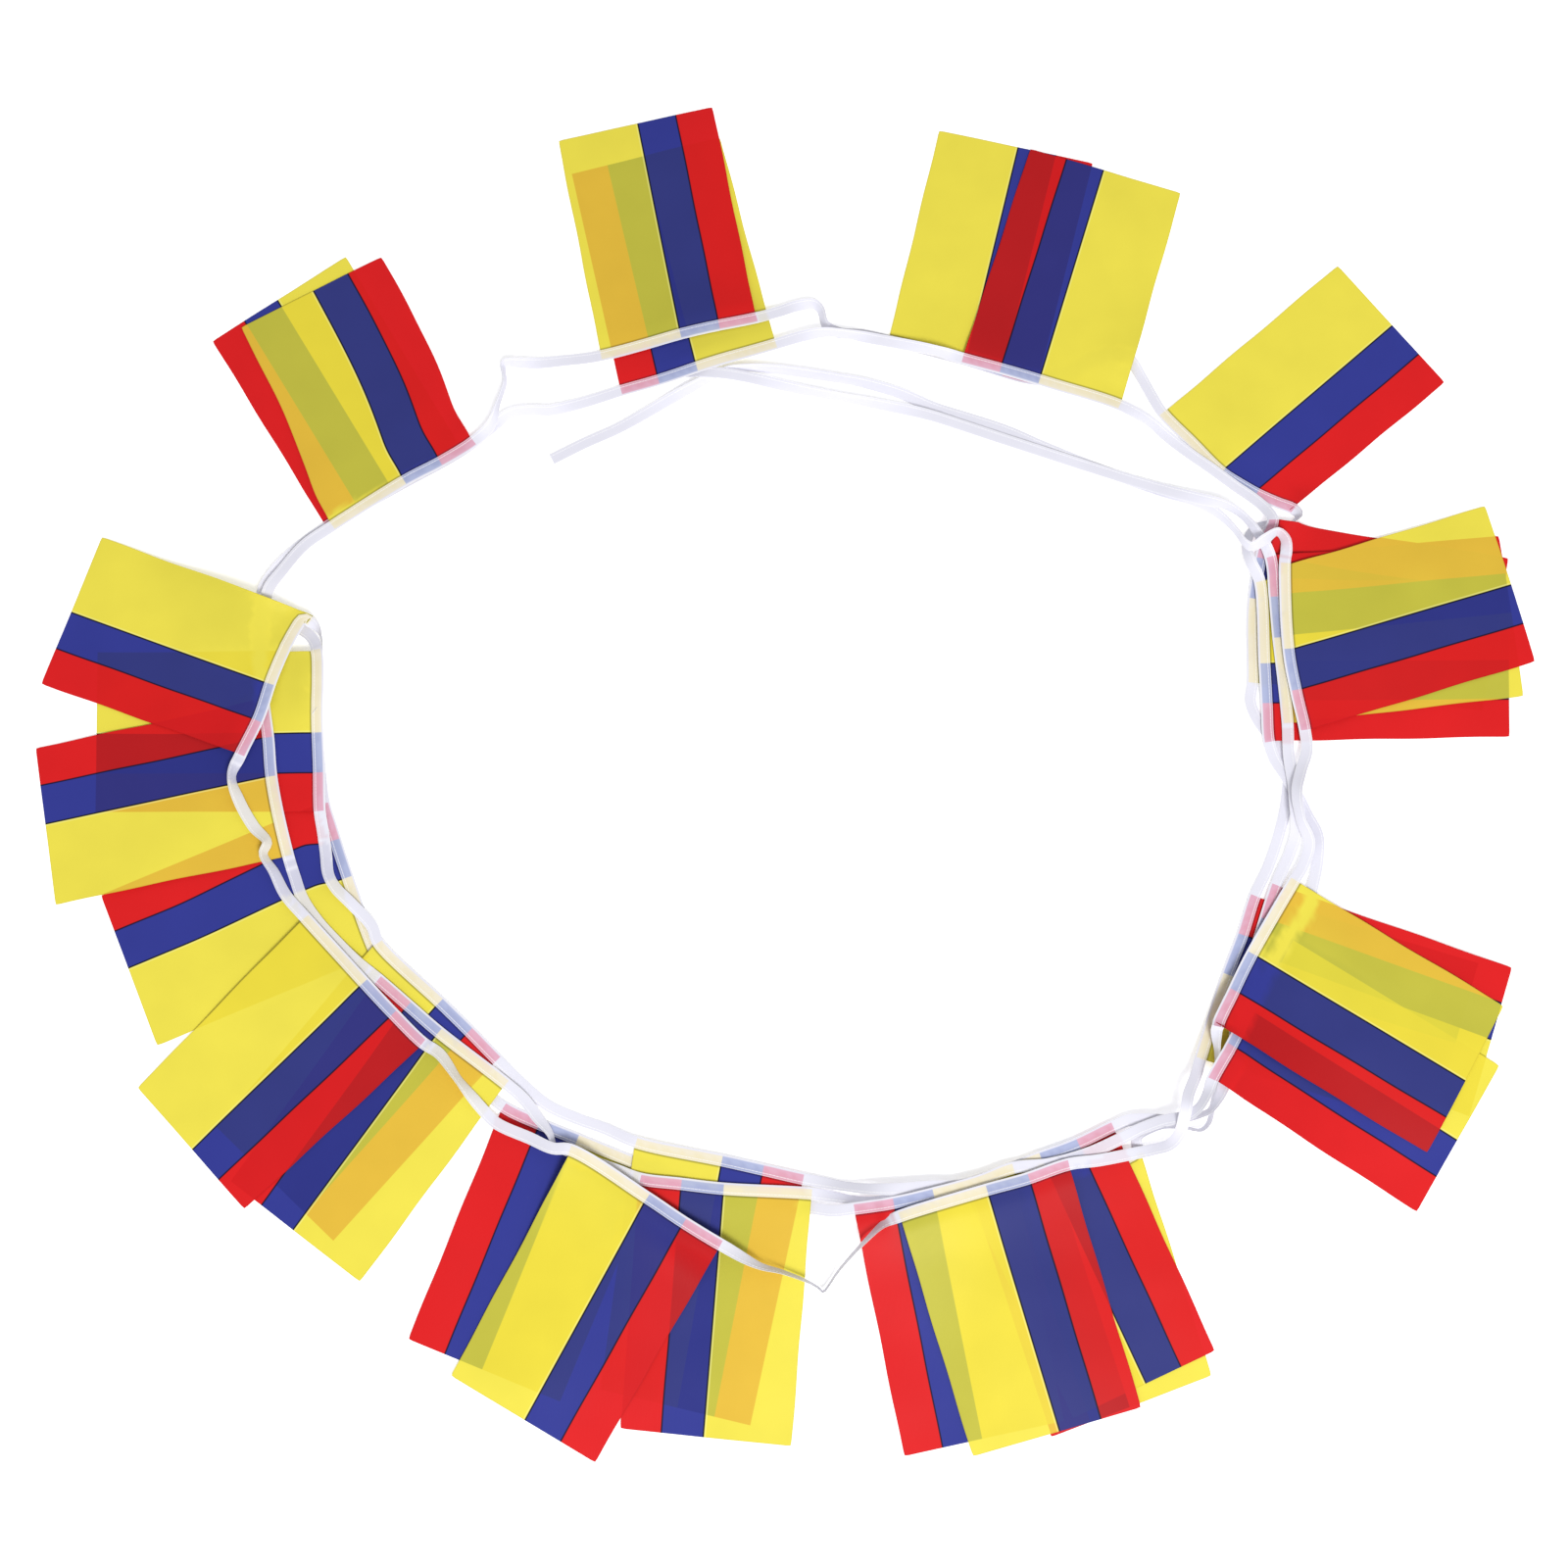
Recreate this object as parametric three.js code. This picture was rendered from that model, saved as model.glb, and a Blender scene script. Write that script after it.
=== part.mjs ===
// String of flag bunting, laid on a flat surface in a loose double loop.
//
// Thirty cloth flags hang side by side on one long white tape. The tape is folded over the short
// edge of each flag, the flag's heading, and runs on plain and doubled to the next flag. The string
// goes round the loop more than one and a half times, turns back at the upper left and goes round
// again the other way, so that three or four strands lie beside or on each other in most places.
// The tape is built as thirty lengths, each a flag's heading with half of the plain tape beside it.
// All sizes are in millimetres, with X to the right, Y away from the viewer and Z up.

import * as THREE from "three";
import { mergeVertices } from "three/addons/utils/BufferGeometryUtils.js";

// A flag and the tape; the columns and rows are the cells that a flag is divided into
const FLAG_WIDTH = 140;
const FLAG_LENGTH = 197;
const FLAG_THICKNESS = 1.0;
const FLAG_COLUMNS = 6;
const FLAG_ROWS = 6;
const TAPE_WIDTH = 10.0;
const TAPE_LAYER = 0.7;

// The fold of the tape round a flag's heading, and how far from it the flag is free to bend
const CLEARANCE = 0.3;
const SLOT_HEIGHT = FLAG_THICKNESS + 2 * CLEARANCE;
const FOLD_DEPTH = TAPE_WIDTH - TAPE_LAYER - CLEARANCE;
const HEADING_HEIGHT = SLOT_HEIGHT + 2 * TAPE_LAYER;
const PLAIN_HEIGHT = 2 * TAPE_LAYER;
const FREE_OF_TAPE = 0.8;

// Steps along the plain tape: length of a straight one, turn of a bent one in radians, and the
// share of a bend's radius that half the tape may take up before it stands on its edge
const FINE_PIECES = 12;
const STRAIGHT_STEP = 24;
const TURN_STEP = 0.45;
const TIGHTEST_HALF_WIDTH = 0.7;

// Laying out: rounds of sinking and of parting the last overlaps, how far a sheet sinks in one
// round, the share of a bend that one round takes out, the air between two sheets, and how many
// steps of the tape count as one strand
const LAYING_ROUNDS = 500;
const PARTING_ROUNDS = 300;
const SINK = 0.1;
const SMOOTHING = 0.12;
const LAYER_GAP = 0.35;
const JOINED_STEPS = 3;

// A ridge in a flag swells from nothing over this share of the flag's length from the tape
const RIDGE_START = 0.25;

const ROUNDING = 1e-6;
const MERGE_DISTANCE = 1e-4;

const FLAG_COLOUR = 0xf0e44b;
const TAPE_COLOUR = 0xebebf7;

// The string from its first free end to its last. A row is one flag and the tape after it.
//   layer    what lies higher where two sheets cross has the larger number
//   heading  points of the tape's middle line along the flag, from its red edge to its yellow edge
//   hem      the two outer corners, red and yellow
//   tape     the tape's middle line up to the next flag: x, y, roll in degrees, layer
const FIRST_TAPE = [
  [-95, 366, 0, 8], [-54, 362, 0, 8], [-26, 358, 0, 8], [13, 350, 40, 8], [53, 342, 60, 8],
  [90, 335, 30, 8], [132, 325, 0, 8], [195, 304, 0, 8], [266, 280, 0, 8], [327, 260, 0, 8],
  [361, 249, 20, 8], [384, 241, 60, 8], [399, 230, 70, 8], [411, 214, 50, 30],
];
const STRING = [
  { name: "01", layer: 30,
    heading: [[420, 197], [423, 163], [425, 128], [431, 52]], hem: [[621.5, 218], [635, 76]],
    tape: [[431, 25, 0, 30], [433, 0, 40, 30], [434, -22, 0, 30], [435, -43, 0, 26],
      [430, -59, 0, 26]] },
  { name: "02", layer: 25,
    heading: [[417, -87], [396, -148], [378, -209]], hem: [[614, -157], [572, -281]],
    tape: [[376, -232, 0, 28], [367, -250, 0, 28], [360, -266, 50, 28], [353, -276, 70, 28],
      [343, -280, 60, 28], [331, -282, 30, 28], [317, -284, 10, 28], [301, -283, 0, 28],
      [287, -284, 0, 28]] },
  { name: "03", layer: 20,
    heading: [[274, -289], [242, -304], [211, -315], [148, -337]], hem: [[354, -471], [236, -525]],
    tape: [[122, -338, 0, 22], [95, -340, 0, 22], [70, -340, 30, 22], [50, -338, 40, 12],
      [33, -335, 20, 12]] },
  { name: "04", layer: 10,
    heading: [[16, -332], [-15, -325], [-51, -317], [-123, -302]], hem: [[-27, -531], [-151, -502]],
    tape: [[-149, -291, 0, 12], [-172, -283, 0, 12], [-197, -272, 0, 12], [-217, -256, 0, 12]] },
  { name: "05", layer: 12,
    heading: [[-240, -234], [-263, -211], [-289, -186], [-342, -136]],
    hem: [[-373, -383], [-473, -290]],
    tape: [[-348, -122, 0, 14], [-366, -103, 0, 14], [-380, -89, 20, 14], [-386, -78, 30, 14],
      [-389, -59, 0, 14], [-392, -41, 0, 20]] },
  { name: "06", layer: 20,
    heading: [[-395, -24], [-397, 11], [-399, 46], [-401, 115]], hem: [[-587, -25], [-592, 115]],
    tape: [[-408, 128, 0, 14], [-424, 139, 0, 14], [-444, 154, 30, 14], [-452, 165, 60, 14],
      [-445, 181, 40, 14], [-422, 208, 0, 14]] },
  { name: "07", layer: 10,
    heading: [[-398, 226], [-339, 261], [-281, 295]], hem: [[-504, 395], [-389, 473]],
    tape: [[-253, 318, 20, 12], [-240, 328, 40, 12], [-222, 331, 40, 12], [-205, 331, 30, 12],
      [-181, 337, 10, 12]] },
  { name: "08", layer: 10,
    heading: [[-143, 349], [-110, 357.5], [-76, 367], [-7, 389]], hem: [[-190, 550.5], [-57, 585]],
    tape: [[17, 396, 10, 30], [38, 399, 60, 30], [57, 398, 60, 30], [78, 395, 10, 30],
      [111, 389, 20, 30], [135, 383.5, 50, 30]] },
  { name: "09", layer: 20,
    heading: [[157, 377.5], [191.5, 368], [224.5, 358], [294.5, 336]],
    hem: [[220, 574], [354, 533]],
    tape: [[321, 320, 50, 30], [334, 308, 20, 30], [353, 292, 0, 30], [375, 276, 0, 30],
      [393, 262, 0, 30], [408, 251, 0, 30], [418, 241, 0, 30]] },
  { name: "10", layer: 20,
    heading: [[423.5, 230], [418, 216], [410.5, 185], [405, 151], [403, 88]],
    hem: [[629, 198], [600, 63]],
    tape: [[401, 71, 0, 20], [408, 53, 0, 20], [423, 34, 0, 20], [431, 15, 0, 20],
      [429, -13, 0, 20], [422, -42, 0, 20], [411, -72, 0, 20]] },
  { name: "11", layer: 20,
    heading: [[399, -96], [387, -130], [373.5, -163], [347.5, -233]],
    hem: [[586, -153], [538, -291]],
    tape: [[342, -248, 0, 45], [334, -264, 0, 45], [330, -281, 0, 45], [327, -295, 0, 45],
      [320, -304, 20, 45], [307, -308, 20, 45], [287, -312, 0, 45], [260, -317, 0, 45]] },
  { name: "12", layer: 40,
    heading: [[236, -320], [200, -332], [166, -341], [95, -362]], hem: [[292, -516], [154, -555]],
    tape: [[82, -368, 40, 45], [66, -379, 70, 45], [49, -399, 80, 45], [33, -423, 80, 45],
      [8, -414, 75, 45], [-20, -402, 60, 45]] },
  { name: "13", layer: 40,
    heading: [[-52, -385], [-84, -366], [-113, -347], [-177, -308]],
    hem: [[-154, -560], [-273, -491]],
    tape: [[-191, -307, 20, 45], [-210, -299, 0, 45], [-240, -286, 0, 45], [-252, -274, 0, 45],
      [-271, -251, 60, 45], [-288, -229, 20, 45]] },
  { name: "14", layer: 40,
    heading: [[-302, -220], [-327, -196], [-352, -170], [-404, -115]],
    hem: [[-447, -357], [-541, -257]],
    tape: [[-422, -95, 20, 52], [-432, -76, 40, 52], [-441, -61, 60, 52], [-438, -51, 50, 52],
      [-450, -38, 10, 52], [-464, -14, 20, 52], [-470, 6, 70, 52]] },
  { name: "15", layer: 60,
    heading: [[-463.5, 24], [-448, 58], [-438, 91], [-421, 131], [-412, 143], [-405, 141]],
    hem: [[-639, 87], [-593, 217]],
    tape: [[-399, 136, 65, 62], [-394, 125, 78, 62], [-393, 111, 78, 8], [-395, 92, 70, 8],
      [-397, 60, 20, 8], [-392, 20, 0, 8]] },
  { name: "16", layer: 10,
    heading: [[-387, -17], [-382, -38], [-373, -71], [-348, -137]],
    hem: [[-579, -96], [-526, -222]],
    tape: [[-331, -166, 0, 8], [-303, -200, 0, 8], [-274, -233, 0, 8], [-253, -257, 0, 8]] },
  { name: "17", layer: 5,
    heading: [[-234, -273], [-204, -287], [-171, -300], [-106, -326]],
    hem: [[-309, -462], [-183, -512]],
    tape: [[-65, -341, 0, 4], [-16, -352, 0, 4], [23, -356, 0, 4], [40, -358, 0, 4]] },
  { name: "18", layer: 25,
    heading: [[58, -356], [91, -351], [126, -343], [163, -333], [190, -323]],
    hem: [[98, -555], [229, -527]],
    tape: [[220, -320, 0, 30], [253, -311, 0, 30], [280, -299, 0, 30], [296, -291, 10, 30],
      [315, -284, 20, 30], [331, -281, 20, 30], [342, -274, 50, 30], [350, -261, 50, 30]] },
  { name: "19", layer: 30,
    heading: [[354, -250.5], [373, -220], [391.5, -189.5], [424, -131]],
    hem: [[525, -359], [599, -239]],
    tape: [[440, -113, 0, 28], [448, -88, 0, 28], [453, -67, 0, 28], [454, -44, 50, 28],
      [446, -27, 60, 28], [436, -8, 20, 28], [428, 7, 0, 28], [420, 20, 0, 28]] },
  { name: "20", layer: 22,
    heading: [[415, 36], [414, 67], [413, 103], [411, 176]], hem: [[622, 41], [626, 177]],
    tape: [[403.5, 193, 30, 22], [401, 206, 50, 18], [404.5, 219, 40, 18], [413, 226, 30, 18],
      [424, 229, 50, 18], [434, 228.5, 65, 18], [443, 230.5, 75, 18], [447.5, 236, 80, 18]] },
  { name: "21", layer: 15,
    heading: [[443.5, 241.5], [430, 247.5], [414, 255], [398, 264.5], [382, 275.5], [357, 302],
      [332, 329]],
    hem: [[581, 357], [491, 465]],
    tape: [[323, 345, 0, 12], [314, 362, 0, 12], [303, 378, 40, 12], [281, 380, 0, 12],
      [252, 366, 0, 12]] },
  { name: "22", layer: 10,
    heading: [[225, 359], [158, 377.5], [92, 395.5]], hem: [[276, 561], [139, 592]],
    tape: [[69, 401, 0, 22], [48, 402.5, 0, 22], [37, 408, 60, 22], [32, 423, 50, 22],
      [26, 428, 50, 22], [10, 425.5, 10, 22], [-3, 420, 0, 22]] },
  { name: "23", layer: 20,
    heading: [[-24, 413], [-57, 405.5], [-91, 398], [-161, 381]],
    hem: [[-64, 614.5], [-202, 582]],
    tape: [[-194, 377, 0, 22], [-215, 374.5, 10, 22], [-232, 374, 40, 22], [-246, 373, 65, 22],
      [-245, 356, 75, 22], [-250, 335, 78, 22], [-256, 316, 40, 22]] },
  { name: "24", layer: 20,
    heading: [[-271, 302], [-299, 284], [-330, 267], [-392, 226]], hem: [[-357, 473], [-479, 407]],
    tape: [[-416, 209, 0, 24], [-434, 185, 0, 24], [-444, 168, 20, 24], [-449, 137, 0, 24],
      [-449, 103, 0, 40]] },
  { name: "25", layer: 50,
    heading: [[-446, 72], [-441, 39], [-437, 4], [-421, -62]], hem: [[-641, 31], [-617, -104]],
    tape: [[-415, -80, 0, 30], [-408, -98, 0, 30], [-394, -118, 0, 30], [-377, -136, 0, 30],
      [-360, -152, 0, 30]] },
  { name: "26", layer: 24,
    heading: [[-341, -167], [-315, -189], [-289, -211], [-232, -254]],
    hem: [[-460, -334], [-350, -416]],
    tape: [[-217, -267, 0, 30], [-205, -282, 20, 30], [-195, -294, 60, 30], [-189, -307, 80, 30],
      [-177, -312, 60, 30], [-159, -318, 20, 30], [-139, -325, 0, 30]] },
  { name: "27", layer: 20,
    heading: [[-119, -332], [-86, -336], [-51, -340], [23, -344]], hem: [[-134, -533], [6, -547]],
    tape: [[40, -346.5, 30, 12], [57, -349, 50, 12], [75, -349, 60, 12], [95, -345, 60, 12],
      [115, -341, 60, 12], [134, -342, 70, 12]] },
  { name: "28", layer: 10,
    heading: [[156, -343], [224, -328], [293, -310]], hem: [[218, -540], [351, -491]],
    tape: [[294, -298, 40, 26], [308, -290, 40, 26], [320, -288, 60, 26], [336, -290.5, 70, 26],
      [347, -292, 75, 26], [353.5, -286, 75, 26], [357, -271, 72, 26], [359, -259, 75, 26],
      [360.5, -243, 75, 26], [360.5, -227, 72, 26], [360, -217, 60, 26]] },
  { name: "29", layer: 40,
    heading: [[360.5, -207], [375.5, -178], [392.5, -147], [432, -83]], hem: [[535, -311], [605, -189]],
    tape: [[439, -72, 0, 40], [445, -52, 20, 40], [437, -32, 50, 40], [434, -10, 40, 40],
      [439, 9, 20, 40], [446, 28, 0, 40]] },
  { name: "30", layer: 40,
    heading: [[445, 45.5], [438.5, 77], [433, 112], [432, 191]], hem: [[646, 106], [611, 245]],
    tape: [[434, 203, 0, 45], [433, 212, 50, 45], [426, 217.5, 70, 45], [414, 210, 20, 45],
      [403, 204, 50, 45], [397, 209, 75, 45], [391, 220, 75, 6], [378, 236, 60, 6],
      [360, 248, 30, 6], [327, 259, 0, 6],
      [266, 282, 0, 6], [226, 299, 0, 6], [195, 313, 0, 6], [163, 324, 0, 6],
      [132, 334, 0, 6], [101, 347, 20, 6], [69, 356, 40, 6], [53, 359, 50, 6],
      [23, 364, 40, 6], [-7, 368, 50, 6], [-35, 369, 70, 6], [-50, 367, 70, 6],
      [-66, 360, 60, 6], [-97, 343, 20, 6], [-144, 316, 0, 6], [-174, 302, 0, 6],
      [-203, 287, 0, 6]] },
];

// Soft ridges of the cloth: flag, then both ends as shares of its width (from the red edge) and of
// its length (from the tape), then how wide the ridge is and how far it lifts the cloth.
const RIDGES = [
  { flag: "24", from: [0.05, 0.22], to: [0.95, 0.16], width: 34, rise: 5 },
  { flag: "15", from: [0.75, 0.02], to: [1.0, 0.35], width: 40, rise: 7 },
  { flag: "21", from: [0.35, 0.05], to: [0.65, 0.4], width: 30, rise: 5 },
  { flag: "25", from: [0.5, 0.1], to: [0.95, 0.75], width: 34, rise: 4 },
  { flag: "14", from: [0.9, 0.15], to: [0.45, 0.8], width: 36, rise: 3 },
  { flag: "23", from: [0.1, 0.1], to: [0.3, 0.85], width: 30, rise: 3 },
  { flag: "09", from: [0.75, 0.2], to: [0.6, 0.8], width: 36, rise: 3 },
  { flag: "30", from: [0.2, 0.2], to: [0.75, 0.7], width: 34, rise: 4 },
  { flag: "29", from: [0.85, 0.25], to: [0.3, 0.6], width: 36, rise: 3 },
  { flag: "12", from: [0.6, 0.1], to: [0.7, 0.7], width: 34, rise: 3 },
  { flag: "13", from: [0.3, 0.15], to: [0.6, 0.75], width: 36, rise: 3 },
  { flag: "16", from: [0.7, 0.1], to: [0.9, 0.6], width: 34, rise: 3 },
];

const lerp = THREE.MathUtils.lerp;
const halfWidth = ({ roll, height }) =>
  TAPE_WIDTH / 2 * Math.cos(roll) + height / 2 * Math.sin(roll);
const halfHeight = ({ roll, height }) =>
  TAPE_WIDTH / 2 * Math.sin(roll) + height / 2 * Math.cos(roll);

// A smooth line through the tape's points, as many short steps that each know their roll and layer.
function fineLine(rows) {
  const curve = new THREE.CatmullRomCurve3(
    rows.map(([x, y]) => new THREE.Vector3(x, y, 0)), false, "centripetal");
  const line = [];
  for (let row = 0; row < rows.length - 1; row += 1) {
    for (let piece = 0; piece < FINE_PIECES; piece += 1) {
      const share = piece / FINE_PIECES;
      const place = curve.getPoint((row + share) / (rows.length - 1));
      const [, , roll, layer] = rows[row];
      line.push({ x: place.x, y: place.y, row: row + share,
        roll: lerp(roll, rows[row + 1][2], share), layer: share < 0.5 ? layer : rows[row + 1][3] });
    }
  }
  const last = rows[rows.length - 1];
  line.push({ x: last[0], y: last[1], row: rows.length - 1, roll: last[2], layer: last[3] });
  return line;
}

// Even stops along a stretch of the fine line, closer together where it bends.
function stopsAlong(line, count) {
  const cost = [0];
  for (let i = 1; i < line.length; i += 1) {
    const step = Math.hypot(line[i].x - line[i - 1].x, line[i].y - line[i - 1].y);
    let turn = 0;
    if (i > 1) {
      const before = Math.atan2(line[i - 1].y - line[i - 2].y, line[i - 1].x - line[i - 2].x);
      const after = Math.atan2(line[i].y - line[i - 1].y, line[i].x - line[i - 1].x);
      turn = Math.abs(Math.atan2(Math.sin(after - before), Math.cos(after - before)));
    }
    cost.push(cost[i - 1] + (count ? step : step / STRAIGHT_STEP + turn / TURN_STEP));
  }
  const total = cost[cost.length - 1];
  const steps = count ?? Math.max(2, Math.round(total));
  const stops = [];
  let i = 1;
  for (let stop = 0; stop <= steps; stop += 1) {
    const goal = total * stop / steps;
    while (i < line.length - 1 && cost[i] < goal) {
      i += 1;
    }
    const share = (goal - cost[i - 1]) / (cost[i] - cost[i - 1]);
    stops.push({
      x: lerp(line[i - 1].x, line[i].x, share), y: lerp(line[i - 1].y, line[i].y, share),
      roll: THREE.MathUtils.degToRad(lerp(line[i - 1].roll, line[i].roll, share)),
      layer: line[share < 0.5 ? i - 1 : i].layer, flag: null, height: PLAIN_HEIGHT,
    });
  }
  return stops;
}

// All stops of the tape from end to end. Each flag's heading has one stop for each of its columns.
function layTape() {
  const rows = FIRST_TAPE.map((row) => [...row]);
  const marks = [];
  for (const { layer, heading, tape } of STRING) {
    const start = rows.length;
    rows.push(...heading.map(([x, y]) => [x, y, 0, layer]));
    marks.push([start, rows.length - 1]);
    rows.push(...tape);
  }
  const line = fineLine(rows);
  const between = (a, b) => line.filter(({ row }) => row > a - ROUNDING && row < b + ROUNDING);
  const stops = stopsAlong(between(0, marks[0][0]));
  STRING.forEach((row, flag) => {
    const [start, end] = marks[flag];
    stops.pop();
    row.firstStop = stops.length;
    for (const stop of stopsAlong(between(start, end), FLAG_COLUMNS)) {
      stops.push({ ...stop, roll: 0, layer: row.layer, flag, height: HEADING_HEIGHT });
    }
    const next = flag + 1 < marks.length ? marks[flag + 1][0] : rows.length - 1;
    stops.push(...stopsAlong(between(end, next)).slice(1));
  });
  return stops;
}

// Each stop's sideways direction, and a roll on to its edge where the tape turns sharply.
function turnTape(stops) {
  stops.forEach((stop, i) => {
    const before = stops[Math.max(i - 1, 0)];
    const after = stops[Math.min(i + 1, stops.length - 1)];
    const length = Math.hypot(after.x - before.x, after.y - before.y);
    stop.left = [-(after.y - before.y) / length, (after.x - before.x) / length];
    if (stop.flag === null && before !== stop && after !== stop) {
      const into = Math.atan2(stop.y - before.y, stop.x - before.x);
      const out = Math.atan2(after.y - stop.y, after.x - stop.x);
      const turn = Math.abs(Math.atan2(Math.sin(out - into), Math.cos(out - into)));
      const radius = length / 2 / Math.max(turn, ROUNDING);
      const widest = Math.min(1, TIGHTEST_HALF_WIDTH * radius / (TAPE_WIDTH / 2));
      stop.roll = Math.max(stop.roll, Math.acos(widest));
    }
  });
}

// How far the ridges lift a flag at a share of its width and length.
function ridgeLift(name, across, along) {
  let lift = 0;
  for (const { flag, from, to, width, rise } of RIDGES) {
    if (flag === name) {
      const way = [(to[0] - from[0]) * FLAG_WIDTH, (to[1] - from[1]) * FLAG_LENGTH];
      const here = [(across - from[0]) * FLAG_WIDTH, (along - from[1]) * FLAG_LENGTH];
      const share = THREE.MathUtils.clamp(
        (way[0] * here[0] + way[1] * here[1]) / (way[0] ** 2 + way[1] ** 2), 0, 1);
      const off = Math.hypot(here[0] - way[0] * share, here[1] - way[1] * share);
      lift += rise * Math.exp(-2 * (off / width) ** 2);
    }
  }
  return lift * Math.min(1, along / RIDGE_START);
}

// The grid of one flag. The two rows at the tape take their heights from its stops.
function layFlag(row, stops, heights) {
  const first = stops[row.firstStop];
  const middle = stops[row.firstStop + FLAG_COLUMNS / 2];
  const toHem = [(row.hem[0][0] + row.hem[1][0]) / 2 - middle.x,
    (row.hem[0][1] + row.hem[1][1]) / 2 - middle.y];
  row.side = Math.sign(toHem[0] * middle.left[0] + toHem[1] * middle.left[1]);
  const stopStep = Math.hypot(stops[row.firstStop + 1].x - first.x,
    stops[row.firstStop + 1].y - first.y);
  const inset = CLEARANCE / stopStep;
  const insertedEdge = TAPE_WIDTH / 2 - FOLD_DEPTH;
  row.grid = [];
  for (let r = 0; r <= FLAG_ROWS + 1; r += 1) {
    const line = [];
    for (let c = 0; c <= FLAG_COLUMNS; c += 1) {
      const column = THREE.MathUtils.clamp(c, inset, FLAG_COLUMNS - inset);
      const low = Math.min(Math.floor(column), FLAG_COLUMNS - 1);
      const share = column - low;
      const a = stops[row.firstStop + low];
      const b = stops[row.firstStop + low + 1];
      const out = r === 0 ? insertedEdge : TAPE_WIDTH / 2 + FREE_OF_TAPE;
      const root = [0, 1].map((k) => lerp(k ? a.y : a.x, k ? b.y : b.x, share)
        + row.side * out * lerp(a.left[k], b.left[k], share));
      const along = Math.max(r - 1, 0) / FLAG_ROWS;
      const across = c / FLAG_COLUMNS;
      const hem = [0, 1].map((k) => lerp(row.hem[0][k], row.hem[1][k], across));
      const lift = ridgeLift(row.name, across, along);
      const point = { x: lerp(root[0], hem[0], along), y: lerp(root[1], hem[1], along),
        below: FLAG_THICKNESS / 2 + lift, above: FLAG_THICKNESS / 2 };
      if (r < 2) {
        point.terms = [[row.firstStop + low, 1 - share], [row.firstStop + low + 1, share]];
      } else {
        point.terms = [[heights.length, 1]];
        heights.push(FLAG_THICKNESS);
      }
      line.push(point);
    }
    row.grid.push(line);
  }
}

// Flat patches that may lie on each other: corners, triangles and edges, seen from above.
function patch(isTape, layer, order, points, triangles) {
  const edges = new Map();
  for (const [a, b, c] of triangles) {
    for (const [p, q] of [[a, b], [b, c], [c, a]]) {
      edges.set(`${Math.min(p, q)},${Math.max(p, q)}`, [p, q]);
    }
  }
  const xs = points.map(({ x }) => x);
  const ys = points.map(({ y }) => y);
  return { isTape, layer, order, points, triangles, edges: [...edges.values()],
    box: [Math.min(...xs), Math.min(...ys), Math.max(...xs), Math.max(...ys)] };
}

function flagPatch(row) {
  const width = FLAG_COLUMNS + 1;
  const points = row.grid.slice(1).flat();
  const triangles = [];
  for (let r = 0; r < FLAG_ROWS; r += 1) {
    for (let c = 0; c < FLAG_COLUMNS; c += 1) {
      const i = r * width + c;
      triangles.push([i, i + 1, i + width], [i + 1, i + width + 1, i + width]);
    }
  }
  return patch(false, row.layer, row.firstStop, points, triangles);
}

function tapePatch(stops, i) {
  const points = [];
  for (const k of [i, i + 1]) {
    const { x, y, left } = stops[k];
    for (const out of [-halfWidth(stops[k]), halfWidth(stops[k])]) {
      points.push({ x: x + left[0] * out, y: y + left[1] * out,
        below: halfHeight(stops[k]), above: halfHeight(stops[k]), terms: [[k, 1]] });
    }
  }
  const layer = Math.max(stops[i].layer, stops[i + 1].layer);
  return patch(true, layer, i, points, [[0, 2, 1], [1, 2, 3]]);
}

// Shares of a point between a triangle's corners, or null outside it.
function sharesIn(points, [a, b, c], x, y) {
  const [p, q, r] = [points[a], points[b], points[c]];
  const area = (q.x - p.x) * (r.y - p.y) - (r.x - p.x) * (q.y - p.y);
  const v = ((x - p.x) * (r.y - p.y) - (r.x - p.x) * (y - p.y)) / area;
  const w = ((q.x - p.x) * (y - p.y) - (x - p.x) * (q.y - p.y)) / area;
  const outside = v < -ROUNDING || w < -ROUNDING || v + w > 1 + ROUNDING;
  return outside ? null : [[p, 1 - v - w], [q, v], [r, w]];
}

function findIn(sheet, x, y) {
  for (const triangle of sheet.triangles) {
    const shares = sharesIn(sheet.points, triangle, x, y);
    if (shares) {
      return shares;
    }
  }
  return null;
}

// One place where an upper sheet lies over a lower one, and how far apart their middles must be.
function contact(upper, lower) {
  const sum = (shares) => {
    const terms = new Map();
    for (const [point, share] of shares) {
      for (const [height, weight] of point.terms) {
        terms.set(height, (terms.get(height) ?? 0) + share * weight);
      }
    }
    return [...terms];
  };
  const need = LAYER_GAP + upper.reduce((total, [point, share]) => total + point.below * share, 0)
    + lower.reduce((total, [point, share]) => total + point.above * share, 0);
  return { upper: sum(upper), lower: sum(lower), need };
}

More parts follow.
